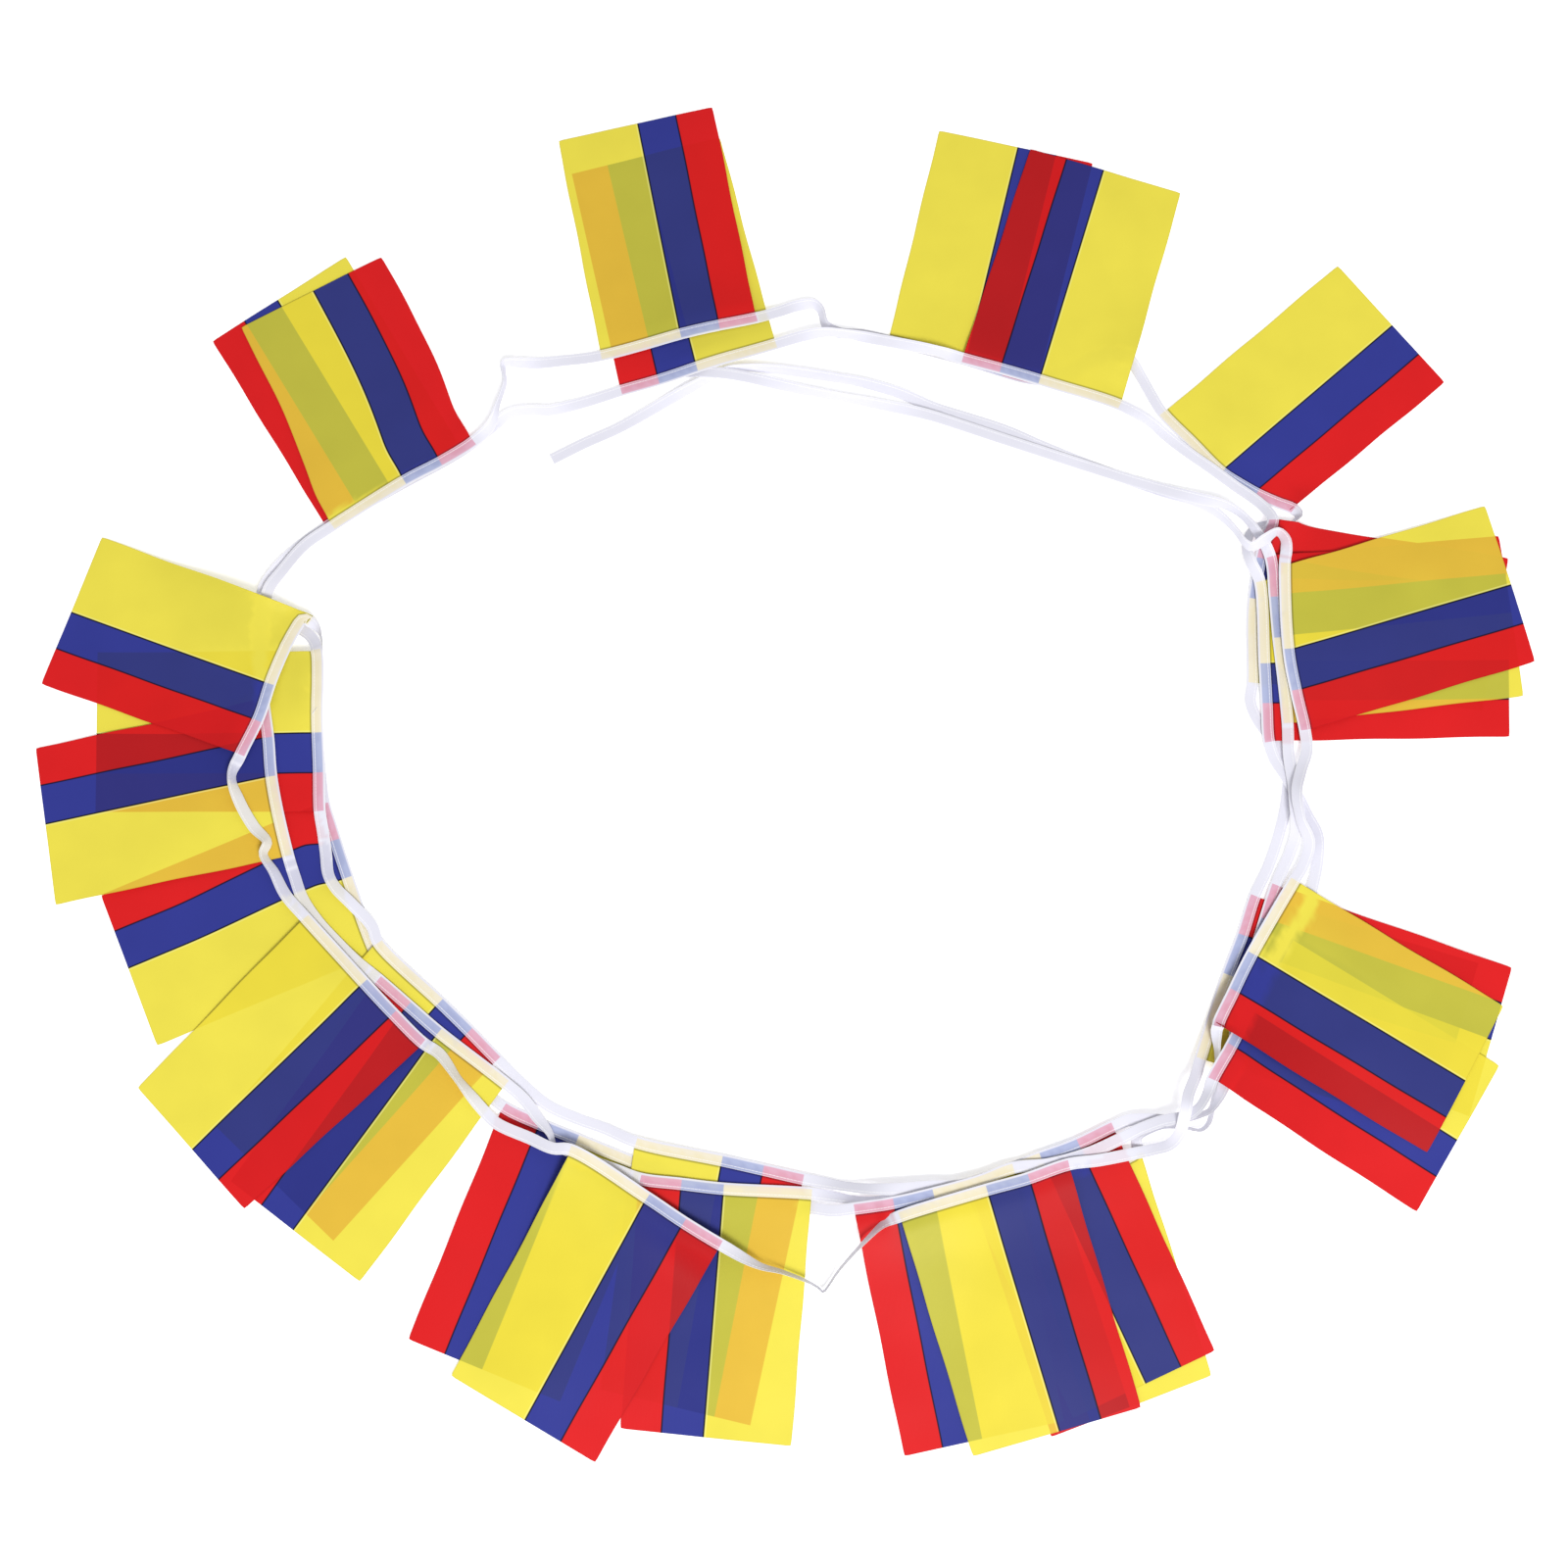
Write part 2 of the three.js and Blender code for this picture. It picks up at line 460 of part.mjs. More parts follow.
// All places where the corners or edges of two patches meet, seen from above.
function contactsOf(upper, lower, list) {
  for (const point of upper.points) {
    const shares = findIn(lower, point.x, point.y);
    if (shares) {
      list.push(contact([[point, 1]], shares));
    }
  }
  for (const point of lower.points) {
    const shares = findIn(upper, point.x, point.y);
    if (shares) {
      list.push(contact(shares, [[point, 1]]));
    }
  }
  for (const [a, b] of upper.edges) {
    const [p, q] = [upper.points[a], upper.points[b]];
    for (const [c, d] of lower.edges) {
      const [r, s] = [lower.points[c], lower.points[d]];
      const cross = (q.x - p.x) * (s.y - r.y) - (q.y - p.y) * (s.x - r.x);
      const t = ((r.x - p.x) * (s.y - r.y) - (r.y - p.y) * (s.x - r.x)) / cross;
      const u = ((r.x - p.x) * (q.y - p.y) - (r.y - p.y) * (q.x - p.x)) / cross;
      if (t > 0 && t < 1 && u > 0 && u < 1) {
        list.push(contact([[p, 1 - t], [q, t]], [[r, 1 - u], [s, u]]));
      }
    }
  }
}

// Tape next to tape on the same strand, and a flag's own heading, are joined and never cross.
function joined(a, b) {
  if (a.isTape && b.isTape) {
    return Math.abs(a.order - b.order) <= JOINED_STEPS;
  }
  const [flag, tape] = a.isTape ? [b, a] : [a, b];
  return !flag.isTape && tape.isTape
    && tape.order >= flag.order - 1 && tape.order <= flag.order + FLAG_COLUMNS;
}

function findContacts(stops) {
  const patches = STRING.map(flagPatch);
  for (let i = 0; i < stops.length - 1; i += 1) {
    patches.push(tapePatch(stops, i));
  }
  patches.sort((a, b) => a.layer - b.layer || a.order - b.order);
  const list = [];
  patches.forEach((upper, i) => {
    for (const lower of patches.slice(0, i)) {
      const apart = upper.box[0] > lower.box[2] || lower.box[0] > upper.box[2]
        || upper.box[1] > lower.box[3] || lower.box[1] > upper.box[3];
      if (!apart && !joined(upper, lower)) {
        contactsOf(upper, lower, list);
      }
    }
  });
  return list;
}

// Lets every sheet sink to the surface or on to what lies under it, and straightens it a little.
function settle(stops, heights) {
  const contacts = findContacts(stops);
  const floors = stops.map(halfHeight);
  const lines = [stops.map((stop, i) => i)];
  for (const { grid } of STRING) {
    grid.slice(2).forEach((line) => {
      for (const { terms, below } of line) {
        floors[terms[0][0]] = below;
      }
      lines.push(line.map(({ terms }) => terms[0][0]));
    });
    for (let c = 0; c <= FLAG_COLUMNS; c += 1) {
      lines.push(grid.slice(1).map((line) => line[c].terms[line[c].terms[0][1] < 0.5 ? 1 : 0][0]));
    }
  }
  for (let round = 0; round < LAYING_ROUNDS + PARTING_ROUNDS; round += 1) {
    if (round < LAYING_ROUNDS) {
      for (const line of lines) {
        for (let i = 1; i < line.length - 1; i += 1) {
          const straight = (heights[line[i - 1]] + heights[line[i + 1]]) / 2;
          heights[line[i]] += SMOOTHING * (straight - heights[line[i]]);
        }
      }
      for (let i = 0; i < heights.length; i += 1) {
        heights[i] -= SINK;
      }
    }
    for (let i = 0; i < heights.length; i += 1) {
      heights[i] = Math.max(heights[i], floors[i]);
    }
    for (const { upper, lower, need } of contacts) {
      let short = need;
      let strength = 0;
      for (const [height, weight] of upper) {
        short -= weight * heights[height];
        strength += weight * weight;
      }
      for (const [height, weight] of lower) {
        short += weight * heights[height];
      }
      if (short > 0) {
        for (const [height, weight] of upper) {
          heights[height] += short * weight / strength;
        }
      }
    }
  }
}

// A closed mesh from rings of corners, turned so that its faces point out.
function closedGeometry(corners, triangles) {
  let volume = 0;
  for (const [a, b, c] of triangles) {
    const [p, q, r] = [corners[a], corners[b], corners[c]];
    volume += p[0] * (q[1] * r[2] - q[2] * r[1]) + p[1] * (q[2] * r[0] - q[0] * r[2])
      + p[2] * (q[0] * r[1] - q[1] * r[0]);
  }
  const facing = volume > 0 ? triangles : triangles.map(([a, b, c]) => [a, c, b]);
  const geometry = new THREE.BufferGeometry();
  geometry.setAttribute("position", new THREE.Float32BufferAttribute(corners.flat(), 3));
  geometry.setIndex(facing.flat());
  const merged = mergeVertices(geometry, MERGE_DISTANCE);
  merged.computeVertexNormals();
  return merged;
}

function flagGeometry(row, heights) {
  const width = FLAG_COLUMNS + 1;
  const corners = [];
  for (const side of [-1, 1]) {
    for (const { x, y, terms } of row.grid.flat()) {
      const z = terms.reduce((total, [height, weight]) => total + heights[height] * weight, 0);
      corners.push([x, y, z + side * FLAG_THICKNESS / 2]);
    }
  }
  const lines = FLAG_ROWS + 2;
  const top = width * lines;
  const triangles = [];
  for (let r = 0; r < lines - 1; r += 1) {
    for (let c = 0; c < FLAG_COLUMNS; c += 1) {
      const i = r * width + c;
      triangles.push([i, i + width, i + 1], [i + 1, i + width, i + width + 1]);
      triangles.push([top + i, top + i + 1, top + i + width]);
      triangles.push([top + i + 1, top + i + width + 1, top + i + width]);
    }
  }
  const rim = [];
  for (let c = 0; c < FLAG_COLUMNS; c += 1) {
    rim.push(c);
  }
  for (let r = 0; r < lines - 1; r += 1) {
    rim.push(r * width + FLAG_COLUMNS);
  }
  for (let c = FLAG_COLUMNS; c > 0; c -= 1) {
    rim.push((lines - 1) * width + c);
  }
  for (let r = lines - 1; r > 0; r -= 1) {
    rim.push(r * width);
  }
  rim.forEach((a, i) => {
    const b = rim[(i + 1) % rim.length];
    triangles.push([a, b, top + a], [b, top + b, top + a]);
  });
  return closedGeometry(corners, triangles);
}

// A section of the tape: four outer corners, and on a heading the four corners of the slot too.
function tapeSection(stop, z, side) {
  const { x, y, left, roll, height } = stop;
  const at = (across, up) => {
    const out = across * Math.cos(roll) - up * Math.sin(roll);
    return [x + side * left[0] * out, y + side * left[1] * out,
      z + across * Math.sin(roll) + up * Math.cos(roll)];
  };
  const [w, h] = [TAPE_WIDTH / 2, height / 2];
  const outer = [at(-w, -h), at(w, -h), at(w, h), at(-w, h)];
  if (stop.flag === null) {
    return outer;
  }
  const [inner, slot] = [w - FOLD_DEPTH - CLEARANCE, SLOT_HEIGHT / 2];
  return [...outer, at(w, -slot), at(inner, -slot), at(inner, slot), at(w, slot)];
}

// One length of tape: a flag's heading with half of the plain tape on either side.
function tapeGeometry(stations, side) {
  const corners = [];
  const triangles = [];
  const quad = (a, b, c, d) => triangles.push([a, b, c], [a, c, d]);
  const plain = [0, 1, 2, 3];
  const folded = [0, 1, 4, 5, 6, 7, 2, 3];
  let before = null;
  for (const [i, { stop, z }] of stations.entries()) {
    const start = corners.length;
    corners.push(...tapeSection(stop, z, side));
    if (i > 0) {
      const bothFolded = stop.flag !== null && stations[i - 1].stop.flag !== null;
      const ring = bothFolded ? folded : plain;
      ring.forEach((a, k) => {
        const b = ring[(k + 1) % ring.length];
        const slotSide = !bothFolded && a === 1;
        if (slotSide && stop.flag !== null) {
          triangles.push([before + 1, before + 2, start + 7], [before + 1, start + 7, start + 4],
            [before + 1, start + 4, start + 1], [before + 2, start + 2, start + 7]);
          quad(start + 4, start + 7, start + 6, start + 5);
        } else if (slotSide && stations[i - 1].stop.flag !== null) {
          triangles.push([start + 2, start + 1, before + 4], [start + 2, before + 4, before + 7],
            [start + 2, before + 7, before + 2], [start + 1, before + 1, before + 4]);
          quad(before + 7, before + 4, before + 5, before + 6);
        } else {
          quad(before + a, before + b, start + b, start + a);
        }
      });
    } else {
      quad(start, start + 3, start + 2, start + 1);
    }
    if (i === stations.length - 1) {
      quad(start, start + 1, start + 2, start + 3);
    }
    before = start;
  }
  return closedGeometry(corners, triangles);
}

// The stations of one length of tape, cut at the middle of the plain tape between two flags.
function tapeStations(flag, stops, heights) {
  const lastOf = (k) => STRING[k].firstStop + FLAG_COLUMNS;
  const cutAfter = (k) => Math.round((lastOf(k) + STRING[k + 1].firstStop) / 2);
  const start = flag === 0 ? 0 : cutAfter(flag - 1);
  const end = flag === STRING.length - 1 ? stops.length - 1 : cutAfter(flag);
  const stations = [];
  for (let i = start; i <= end; i += 1) {
    stations.push({ stop: stops[i], z: heights[i] });
  }
  const trim = (i, neighbour) => {
    const [a, b] = [stations[i], stations[neighbour]];
    const share = CLEARANCE / 2 / Math.hypot(a.stop.x - b.stop.x, a.stop.y - b.stop.y);
    const left = [0, 1].map((k) => lerp(a.stop.left[k], b.stop.left[k], share));
    stations[i] = { z: lerp(a.z, b.z, share), stop: { ...a.stop, left,
      x: lerp(a.stop.x, b.stop.x, share), y: lerp(a.stop.y, b.stop.y, share),
      roll: lerp(a.stop.roll, b.stop.roll, share) } };
  };
  if (flag > 0) {
    trim(0, 1);
  }
  if (flag < STRING.length - 1) {
    trim(stations.length - 1, stations.length - 2);
  }
  return stations;
}

const stops = layTape();
turnTape(stops);
const heights = stops.map(() => HEADING_HEIGHT);
for (const row of STRING) {
  layFlag(row, stops, heights);
}
settle(stops, heights);

const group = new THREE.Group();
STRING.forEach((row, flag) => {
  const cloth = new THREE.MeshStandardMaterial(
    { color: FLAG_COLOUR, roughness: 0.55, metalness: 0 });
  const flagMesh = new THREE.Mesh(flagGeometry(row, heights), cloth);
  flagMesh.name = `flag_${row.name}`;
  const tape = new THREE.MeshStandardMaterial(
    { color: TAPE_COLOUR, roughness: 0.6, metalness: 0 });
  const tapeMesh = new THREE.Mesh(tapeGeometry(tapeStations(flag, stops, heights), row.side), tape);
  tapeMesh.name = `tape_${row.name}`;
  group.add(flagMesh, tapeMesh);
});
const box = new THREE.Box3().setFromObject(group);
group.position.set(-(box.min.x + box.max.x) / 2, -(box.min.y + box.max.y) / 2, 0);

export default group;
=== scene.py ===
# String of flag bunting: thirty thin cloth flags, sewn by their short edges into one folded white
# tape, laid in a loose double loop on a pale surface and seen from almost straight above.
# Sizes are in metres, with X to the right, Y away from the viewer and Z up.

import math

import bpy
import numpy as np
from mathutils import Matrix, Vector
from mathutils.bvhtree import BVHTree


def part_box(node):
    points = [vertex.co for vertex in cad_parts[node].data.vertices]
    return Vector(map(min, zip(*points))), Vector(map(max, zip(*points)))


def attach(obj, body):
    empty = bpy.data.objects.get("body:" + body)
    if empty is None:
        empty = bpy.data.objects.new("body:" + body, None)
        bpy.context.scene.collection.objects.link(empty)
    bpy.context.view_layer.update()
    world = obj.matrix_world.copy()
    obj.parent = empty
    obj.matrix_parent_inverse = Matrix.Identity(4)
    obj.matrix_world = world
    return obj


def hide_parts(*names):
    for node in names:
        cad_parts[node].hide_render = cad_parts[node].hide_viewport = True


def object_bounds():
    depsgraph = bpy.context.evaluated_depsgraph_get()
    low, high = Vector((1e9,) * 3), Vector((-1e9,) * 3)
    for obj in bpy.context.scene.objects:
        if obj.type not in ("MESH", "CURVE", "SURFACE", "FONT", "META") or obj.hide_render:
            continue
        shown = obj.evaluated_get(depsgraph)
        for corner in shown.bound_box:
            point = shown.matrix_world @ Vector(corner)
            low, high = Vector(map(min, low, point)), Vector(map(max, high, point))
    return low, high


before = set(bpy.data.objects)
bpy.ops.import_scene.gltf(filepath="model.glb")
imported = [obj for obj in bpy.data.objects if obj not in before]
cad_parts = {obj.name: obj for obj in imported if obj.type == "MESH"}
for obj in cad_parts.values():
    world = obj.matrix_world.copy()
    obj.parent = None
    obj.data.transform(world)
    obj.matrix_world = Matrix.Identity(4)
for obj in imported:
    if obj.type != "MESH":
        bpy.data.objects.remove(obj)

packed_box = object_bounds()

# Camera, table and light. The camera stands over the middle of the layout, tilted a little from
# straight down. The table is plain and pale, under a white room and one large soft lamp. Its aim
# is worked out from the outermost flags: flag 25 on the left and flag 23 at the far side.
FLAG_25_LEFT = -0.641
FLAG_23_BACK = 0.6145
CAMERA_DISTANCE = 1.8616
CAMERA_TILT = math.radians(8.7215)
LENS, SENSOR = 50, 36
TABLE_SIDE = 9.0
TABLE_DROP = 0.0003
ROOM_LIGHT = 0.58
LAMP_PLACE = (0.8, -2.4, 3.6)
LAMP_SIDE = 1.5
LAMP_POWER = 154
WHITE = (1, 1, 1, 1)
TABLE_SURFACE = {"Base Color": (0.98, 0.98, 0.985, 1), "Roughness": 0.9, "Specular IOR Level": 0,
                 "Emission Color": WHITE, "Emission Strength": 0.3}


def put(name, data):
    """A new object in the scene, at the origin and unturned."""
    piece = bpy.data.objects.new(name, data)
    bpy.context.scene.collection.objects.link(piece)
    return piece


def new_finish(name, settings):
    """A new material with these settings on its shader, with its node tree and the shader."""
    finish = bpy.data.materials.new(name)
    finish.use_nodes = True
    shader = finish.node_tree.nodes["Principled BSDF"]
    for label, value in settings.items():
        shader.inputs[label].default_value = value
    return finish, finish.node_tree, shader


aim = Vector((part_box("flag_25")[0].x - FLAG_25_LEFT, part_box("flag_23")[1].y - FLAG_23_BACK, 0))
camera = put("camera", bpy.data.cameras.new("camera"))
camera.data.lens = LENS
camera.data.sensor_width = SENSOR
camera.location = aim + CAMERA_DISTANCE * Vector((0, -math.sin(CAMERA_TILT), math.cos(CAMERA_TILT)))
camera.rotation_euler = (CAMERA_TILT, 0, 0)
bpy.context.scene.camera = camera

table_mesh = bpy.data.meshes.new("table")
half = TABLE_SIDE / 2
table_mesh.from_pydata(
    [(x, y, -TABLE_DROP) for x, y in ((-half, -half), (half, -half), (half, half), (-half, half))],
    [], [(0, 1, 2, 3)])
table_mesh.materials.append(new_finish("table", TABLE_SURFACE)[0])
table = put("table", table_mesh)

room = bpy.data.worlds.new("room")
room.use_nodes = True
room.node_tree.nodes["Background"].inputs["Color"].default_value = WHITE
room.node_tree.nodes["Background"].inputs["Strength"].default_value = ROOM_LIGHT
bpy.context.scene.world = room
lamp = put("lamp", bpy.data.lights.new("lamp", "AREA"))
lamp.data.size = LAMP_SIDE
lamp.data.energy = LAMP_POWER
lamp.location = LAMP_PLACE
lamp.rotation_euler = (aim - lamp.location).to_track_quat("-Z", "Y").to_euler()
bpy.context.scene.view_settings.view_transform = "Standard"

# Layout of the string. The tape's middle line runs from one free end to the other, and each row is
# one flag and the tape after it. Where two sheets cross, the one with the larger layer lies higher.
#   heading  the middle line along the flag, from its red edge to its yellow edge
#   hem      the two outer corners, red and yellow
#   tape     the middle line up to the next flag: x, y, roll in degrees, layer
#   slack    how far the flag's red side swings out below the tape
#   sway     how far the flag bends from side to side
FIRST_TAPE = [
    (-0.095, 0.366, 0, 8), (-0.054, 0.362, 0, 8), (-0.026, 0.358, 0, 8), (0.013, 0.350, 40, 8),
    (0.053, 0.342, 60, 8), (0.090, 0.335, 30, 8), (0.132, 0.325, 0, 8), (0.195, 0.304, 0, 8),
    (0.266, 0.280, 0, 8), (0.327, 0.260, 0, 8), (0.361, 0.249, 20, 8), (0.384, 0.241, 60, 8),
    (0.399, 0.230, 70, 8), (0.411, 0.214, 50, 30),
]
STRING = [
    dict(name="01", layer=30,
         heading=[(0.420, 0.197), (0.423, 0.163), (0.425, 0.128), (0.431, 0.052)],
         hem=[(0.6215, 0.218), (0.635, 0.076)],
         tape=[(0.431, 0.025, 0, 30), (0.433, 0.000, 40, 30), (0.434, -0.022, 0, 30),
             (0.435, -0.043, 0, 26), (0.430, -0.059, 0, 26)]),
    dict(name="02", layer=25,
         heading=[(0.417, -0.087), (0.396, -0.148), (0.378, -0.209)],
         hem=[(0.614, -0.157), (0.572, -0.281)],
         tape=[(0.376, -0.232, 0, 28), (0.367, -0.250, 0, 28), (0.360, -0.266, 50, 28),
             (0.353, -0.276, 70, 28), (0.343, -0.280, 60, 28), (0.331, -0.282, 30, 28),
             (0.317, -0.284, 10, 28), (0.301, -0.283, 0, 28), (0.287, -0.284, 0, 28)]),
    dict(name="03", layer=20,
         heading=[(0.274, -0.289), (0.242, -0.304), (0.211, -0.315), (0.148, -0.337)],
         hem=[(0.354, -0.471), (0.236, -0.525)],
         tape=[(0.122, -0.338, 0, 22), (0.095, -0.340, 0, 22), (0.070, -0.340, 30, 22),
             (0.050, -0.338, 40, 12), (0.033, -0.335, 20, 12)]),
    dict(name="04", layer=10,
         heading=[(0.016, -0.332), (-0.015, -0.325), (-0.051, -0.317), (-0.123, -0.302)],
         hem=[(-0.027, -0.531), (-0.151, -0.502)],
         tape=[(-0.149, -0.291, 0, 12), (-0.172, -0.283, 0, 12), (-0.197, -0.272, 0, 12),
             (-0.217, -0.256, 0, 12)]),
    dict(name="05", layer=12,
         heading=[(-0.240, -0.234), (-0.263, -0.211), (-0.289, -0.186), (-0.342, -0.136)],
         hem=[(-0.373, -0.383), (-0.473, -0.290)],
         tape=[(-0.348, -0.122, 0, 14), (-0.366, -0.103, 0, 14), (-0.380, -0.089, 20, 14),
             (-0.386, -0.078, 30, 14), (-0.389, -0.059, 0, 14), (-0.392, -0.041, 0, 20)]),
    dict(name="06", layer=20,
         heading=[(-0.395, -0.024), (-0.397, 0.011), (-0.399, 0.046), (-0.401, 0.115)],
         hem=[(-0.587, -0.025), (-0.592, 0.115)],
         tape=[(-0.408, 0.128, 0, 14), (-0.424, 0.139, 0, 14), (-0.444, 0.154, 30, 14),
             (-0.452, 0.165, 60, 14), (-0.445, 0.181, 40, 14), (-0.422, 0.208, 0, 14)]),
    dict(name="07", layer=10,
         heading=[(-0.398, 0.226), (-0.339, 0.261), (-0.281, 0.295)],
         hem=[(-0.504, 0.395), (-0.389, 0.473)],
         tape=[(-0.253, 0.318, 20, 12), (-0.240, 0.328, 40, 12), (-0.222, 0.331, 40, 12),
             (-0.205, 0.331, 30, 12), (-0.181, 0.337, 10, 12)]),
    dict(name="08", layer=10,
         heading=[(-0.143, 0.349), (-0.110, 0.3575), (-0.076, 0.367), (-0.007, 0.389)],
         hem=[(-0.190, 0.5505), (-0.057, 0.585)],
         tape=[(0.017, 0.396, 10, 30), (0.038, 0.399, 60, 30), (0.057, 0.398, 60, 30),
             (0.078, 0.395, 10, 30), (0.111, 0.389, 20, 30), (0.135, 0.3835, 50, 30)]),
    dict(name="09", layer=20,
         heading=[(0.157, 0.3775), (0.1915, 0.368), (0.2245, 0.358), (0.2945, 0.336)],
         hem=[(0.220, 0.574), (0.354, 0.533)],
         tape=[(0.321, 0.320, 50, 30), (0.334, 0.308, 20, 30), (0.353, 0.292, 0, 30),
             (0.375, 0.276, 0, 30), (0.393, 0.262, 0, 30), (0.408, 0.251, 0, 30),
             (0.418, 0.241, 0, 30)]),
    dict(name="10", layer=20,
         heading=[(0.4235, 0.230), (0.418, 0.216), (0.4105, 0.185), (0.405, 0.151), (0.403, 0.088)],
         hem=[(0.629, 0.198), (0.600, 0.063)],
         tape=[(0.401, 0.071, 0, 20), (0.408, 0.053, 0, 20), (0.423, 0.034, 0, 20),
             (0.431, 0.015, 0, 20), (0.429, -0.013, 0, 20), (0.422, -0.042, 0, 20),
             (0.411, -0.072, 0, 20)]),
    dict(name="11", layer=20,
         heading=[(0.399, -0.096), (0.387, -0.130), (0.3735, -0.163), (0.3475, -0.233)],
         hem=[(0.586, -0.153), (0.538, -0.291)],
         tape=[(0.342, -0.248, 0, 45), (0.334, -0.264, 0, 45), (0.330, -0.281, 0, 45),
             (0.327, -0.295, 0, 45), (0.320, -0.304, 20, 45), (0.307, -0.308, 20, 45),
             (0.287, -0.312, 0, 45), (0.260, -0.317, 0, 45)]),
    dict(name="12", layer=40,
         heading=[(0.236, -0.320), (0.200, -0.332), (0.166, -0.341), (0.095, -0.362)],
         hem=[(0.292, -0.516), (0.154, -0.555)],
         tape=[(0.082, -0.368, 60, 45), (0.0655, -0.383, 75, 45), (0.0467, -0.404, 80, 45),
             (0.0358, -0.4195, 82, 45), (0.0324, -0.4235, 82, 45), (0.0282, -0.420, 82, 45),
             (0.018, -0.4144, 78, 45), (-0.002, -0.407, 72, 45), (-0.020, -0.402, 60, 45)]),
    dict(name="13", layer=40,
         heading=[(-0.052, -0.385), (-0.084, -0.366), (-0.113, -0.347), (-0.177, -0.308)],
         hem=[(-0.154, -0.560), (-0.273, -0.491)],
         tape=[(-0.191, -0.307, 20, 45), (-0.210, -0.299, 0, 45), (-0.240, -0.286, 0, 45),
             (-0.252, -0.274, 0, 45), (-0.271, -0.251, 60, 45), (-0.288, -0.229, 20, 45)]),
    dict(name="14", layer=40,
         heading=[(-0.302, -0.220), (-0.327, -0.196), (-0.352, -0.170), (-0.404, -0.115)],
         hem=[(-0.447, -0.357), (-0.541, -0.257)],
         tape=[(-0.422, -0.095, 20, 52), (-0.432, -0.076, 40, 52), (-0.441, -0.061, 60, 52),
             (-0.438, -0.051, 50, 52), (-0.450, -0.038, 10, 52), (-0.464, -0.014, 20, 52),
             (-0.470, 0.006, 70, 52)]),
    dict(name="15", layer=60,
         heading=[(-0.4635, 0.024), (-0.448, 0.058), (-0.438, 0.091), (-0.421, 0.131), (-0.4135, 0.142),
             (-0.408, 0.140)],
         hem=[(-0.639, 0.087), (-0.593, 0.217)],
         tape=[(-0.402, 0.135, 65, 62), (-0.398, 0.125, 78, 62), (-0.397, 0.111, 78, 8),
             (-0.399, 0.092, 70, 8), (-0.401, 0.060, 20, 8), (-0.3975, 0.020, 0, 8)]),
    dict(name="16", layer=10, slack=0.0075,
         heading=[(-0.392, -0.017), (-0.385, -0.038), (-0.3735, -0.071), (-0.344, -0.146)],
         hem=[(-0.579, -0.096), (-0.526, -0.222)],
         tape=[(-0.331, -0.166, 0, 8), (-0.303, -0.200, 0, 8), (-0.274, -0.233, 0, 8),
             (-0.253, -0.257, 0, 8)]),
    dict(name="17", layer=5,
         heading=[(-0.234, -0.273), (-0.204, -0.287), (-0.171, -0.300), (-0.106, -0.326)],
         hem=[(-0.309, -0.462), (-0.183, -0.512)],
         tape=[(-0.065, -0.341, 0, 4), (-0.016, -0.352, 0, 4), (0.023, -0.356, 0, 4),
             (0.040, -0.358, 0, 4)]),
    dict(name="18", layer=25,
         heading=[(0.058, -0.356), (0.091, -0.351), (0.126, -0.343), (0.163, -0.333), (0.190, -0.323)],
         hem=[(0.098, -0.555), (0.229, -0.527)],
         tape=[(0.220, -0.320, 0, 30), (0.253, -0.311, 0, 30), (0.280, -0.299, 0, 30),
             (0.296, -0.291, 10, 30), (0.315, -0.284, 20, 30), (0.331, -0.281, 20, 30),
             (0.342, -0.274, 50, 30), (0.350, -0.261, 50, 30)]),
    dict(name="19", layer=30,
         heading=[(0.354, -0.2505), (0.373, -0.220), (0.3915, -0.1895), (0.424, -0.131)],
         hem=[(0.525, -0.359), (0.599, -0.239)],
         tape=[(0.440, -0.113, 0, 28), (0.448, -0.088, 0, 28), (0.453, -0.067, 0, 28),
             (0.454, -0.044, 50, 28), (0.446, -0.027, 60, 28), (0.436, -0.008, 20, 28),
             (0.428, 0.007, 0, 28), (0.420, 0.020, 0, 28)]),
    dict(name="20", layer=22,
         heading=[(0.415, 0.036), (0.414, 0.067), (0.413, 0.103), (0.411, 0.176)],
         hem=[(0.622, 0.041), (0.626, 0.177)],
         tape=[(0.4035, 0.193, 30, 22), (0.401, 0.206, 50, 18), (0.4045, 0.219, 40, 18),
             (0.413, 0.226, 30, 18), (0.424, 0.229, 50, 18), (0.434, 0.2285, 65, 18),
             (0.443, 0.2305, 75, 18), (0.4475, 0.236, 80, 18)]),
    dict(name="21", layer=15,
         heading=[(0.4435, 0.2415), (0.430, 0.2475), (0.414, 0.255), (0.398, 0.2645), (0.382, 0.2755),
             (0.357, 0.302), (0.332, 0.329)],
         hem=[(0.581, 0.357), (0.491, 0.465)],
         tape=[(0.323, 0.345, 0, 12), (0.314, 0.362, 0, 12), (0.303, 0.378, 40, 12),
             (0.281, 0.380, 0, 12), (0.252, 0.366, 0, 12)]),
    dict(name="22", layer=10,
         heading=[(0.225, 0.359), (0.158, 0.3775), (0.092, 0.3955)],
         hem=[(0.276, 0.561), (0.139, 0.592)],
         tape=[(0.069, 0.401, 0, 22), (0.048, 0.4025, 0, 22), (0.037, 0.408, 60, 22),
             (0.032, 0.423, 50, 22), (0.026, 0.428, 50, 22), (0.010, 0.4255, 10, 22),
             (-0.003, 0.420, 0, 22)]),
    dict(name="23", layer=20,
         heading=[(-0.024, 0.413), (-0.057, 0.4055), (-0.091, 0.398), (-0.161, 0.381)],
         hem=[(-0.064, 0.6145), (-0.202, 0.582)],
         tape=[(-0.194, 0.377, 0, 22), (-0.215, 0.3745, 10, 22), (-0.232, 0.374, 40, 22),
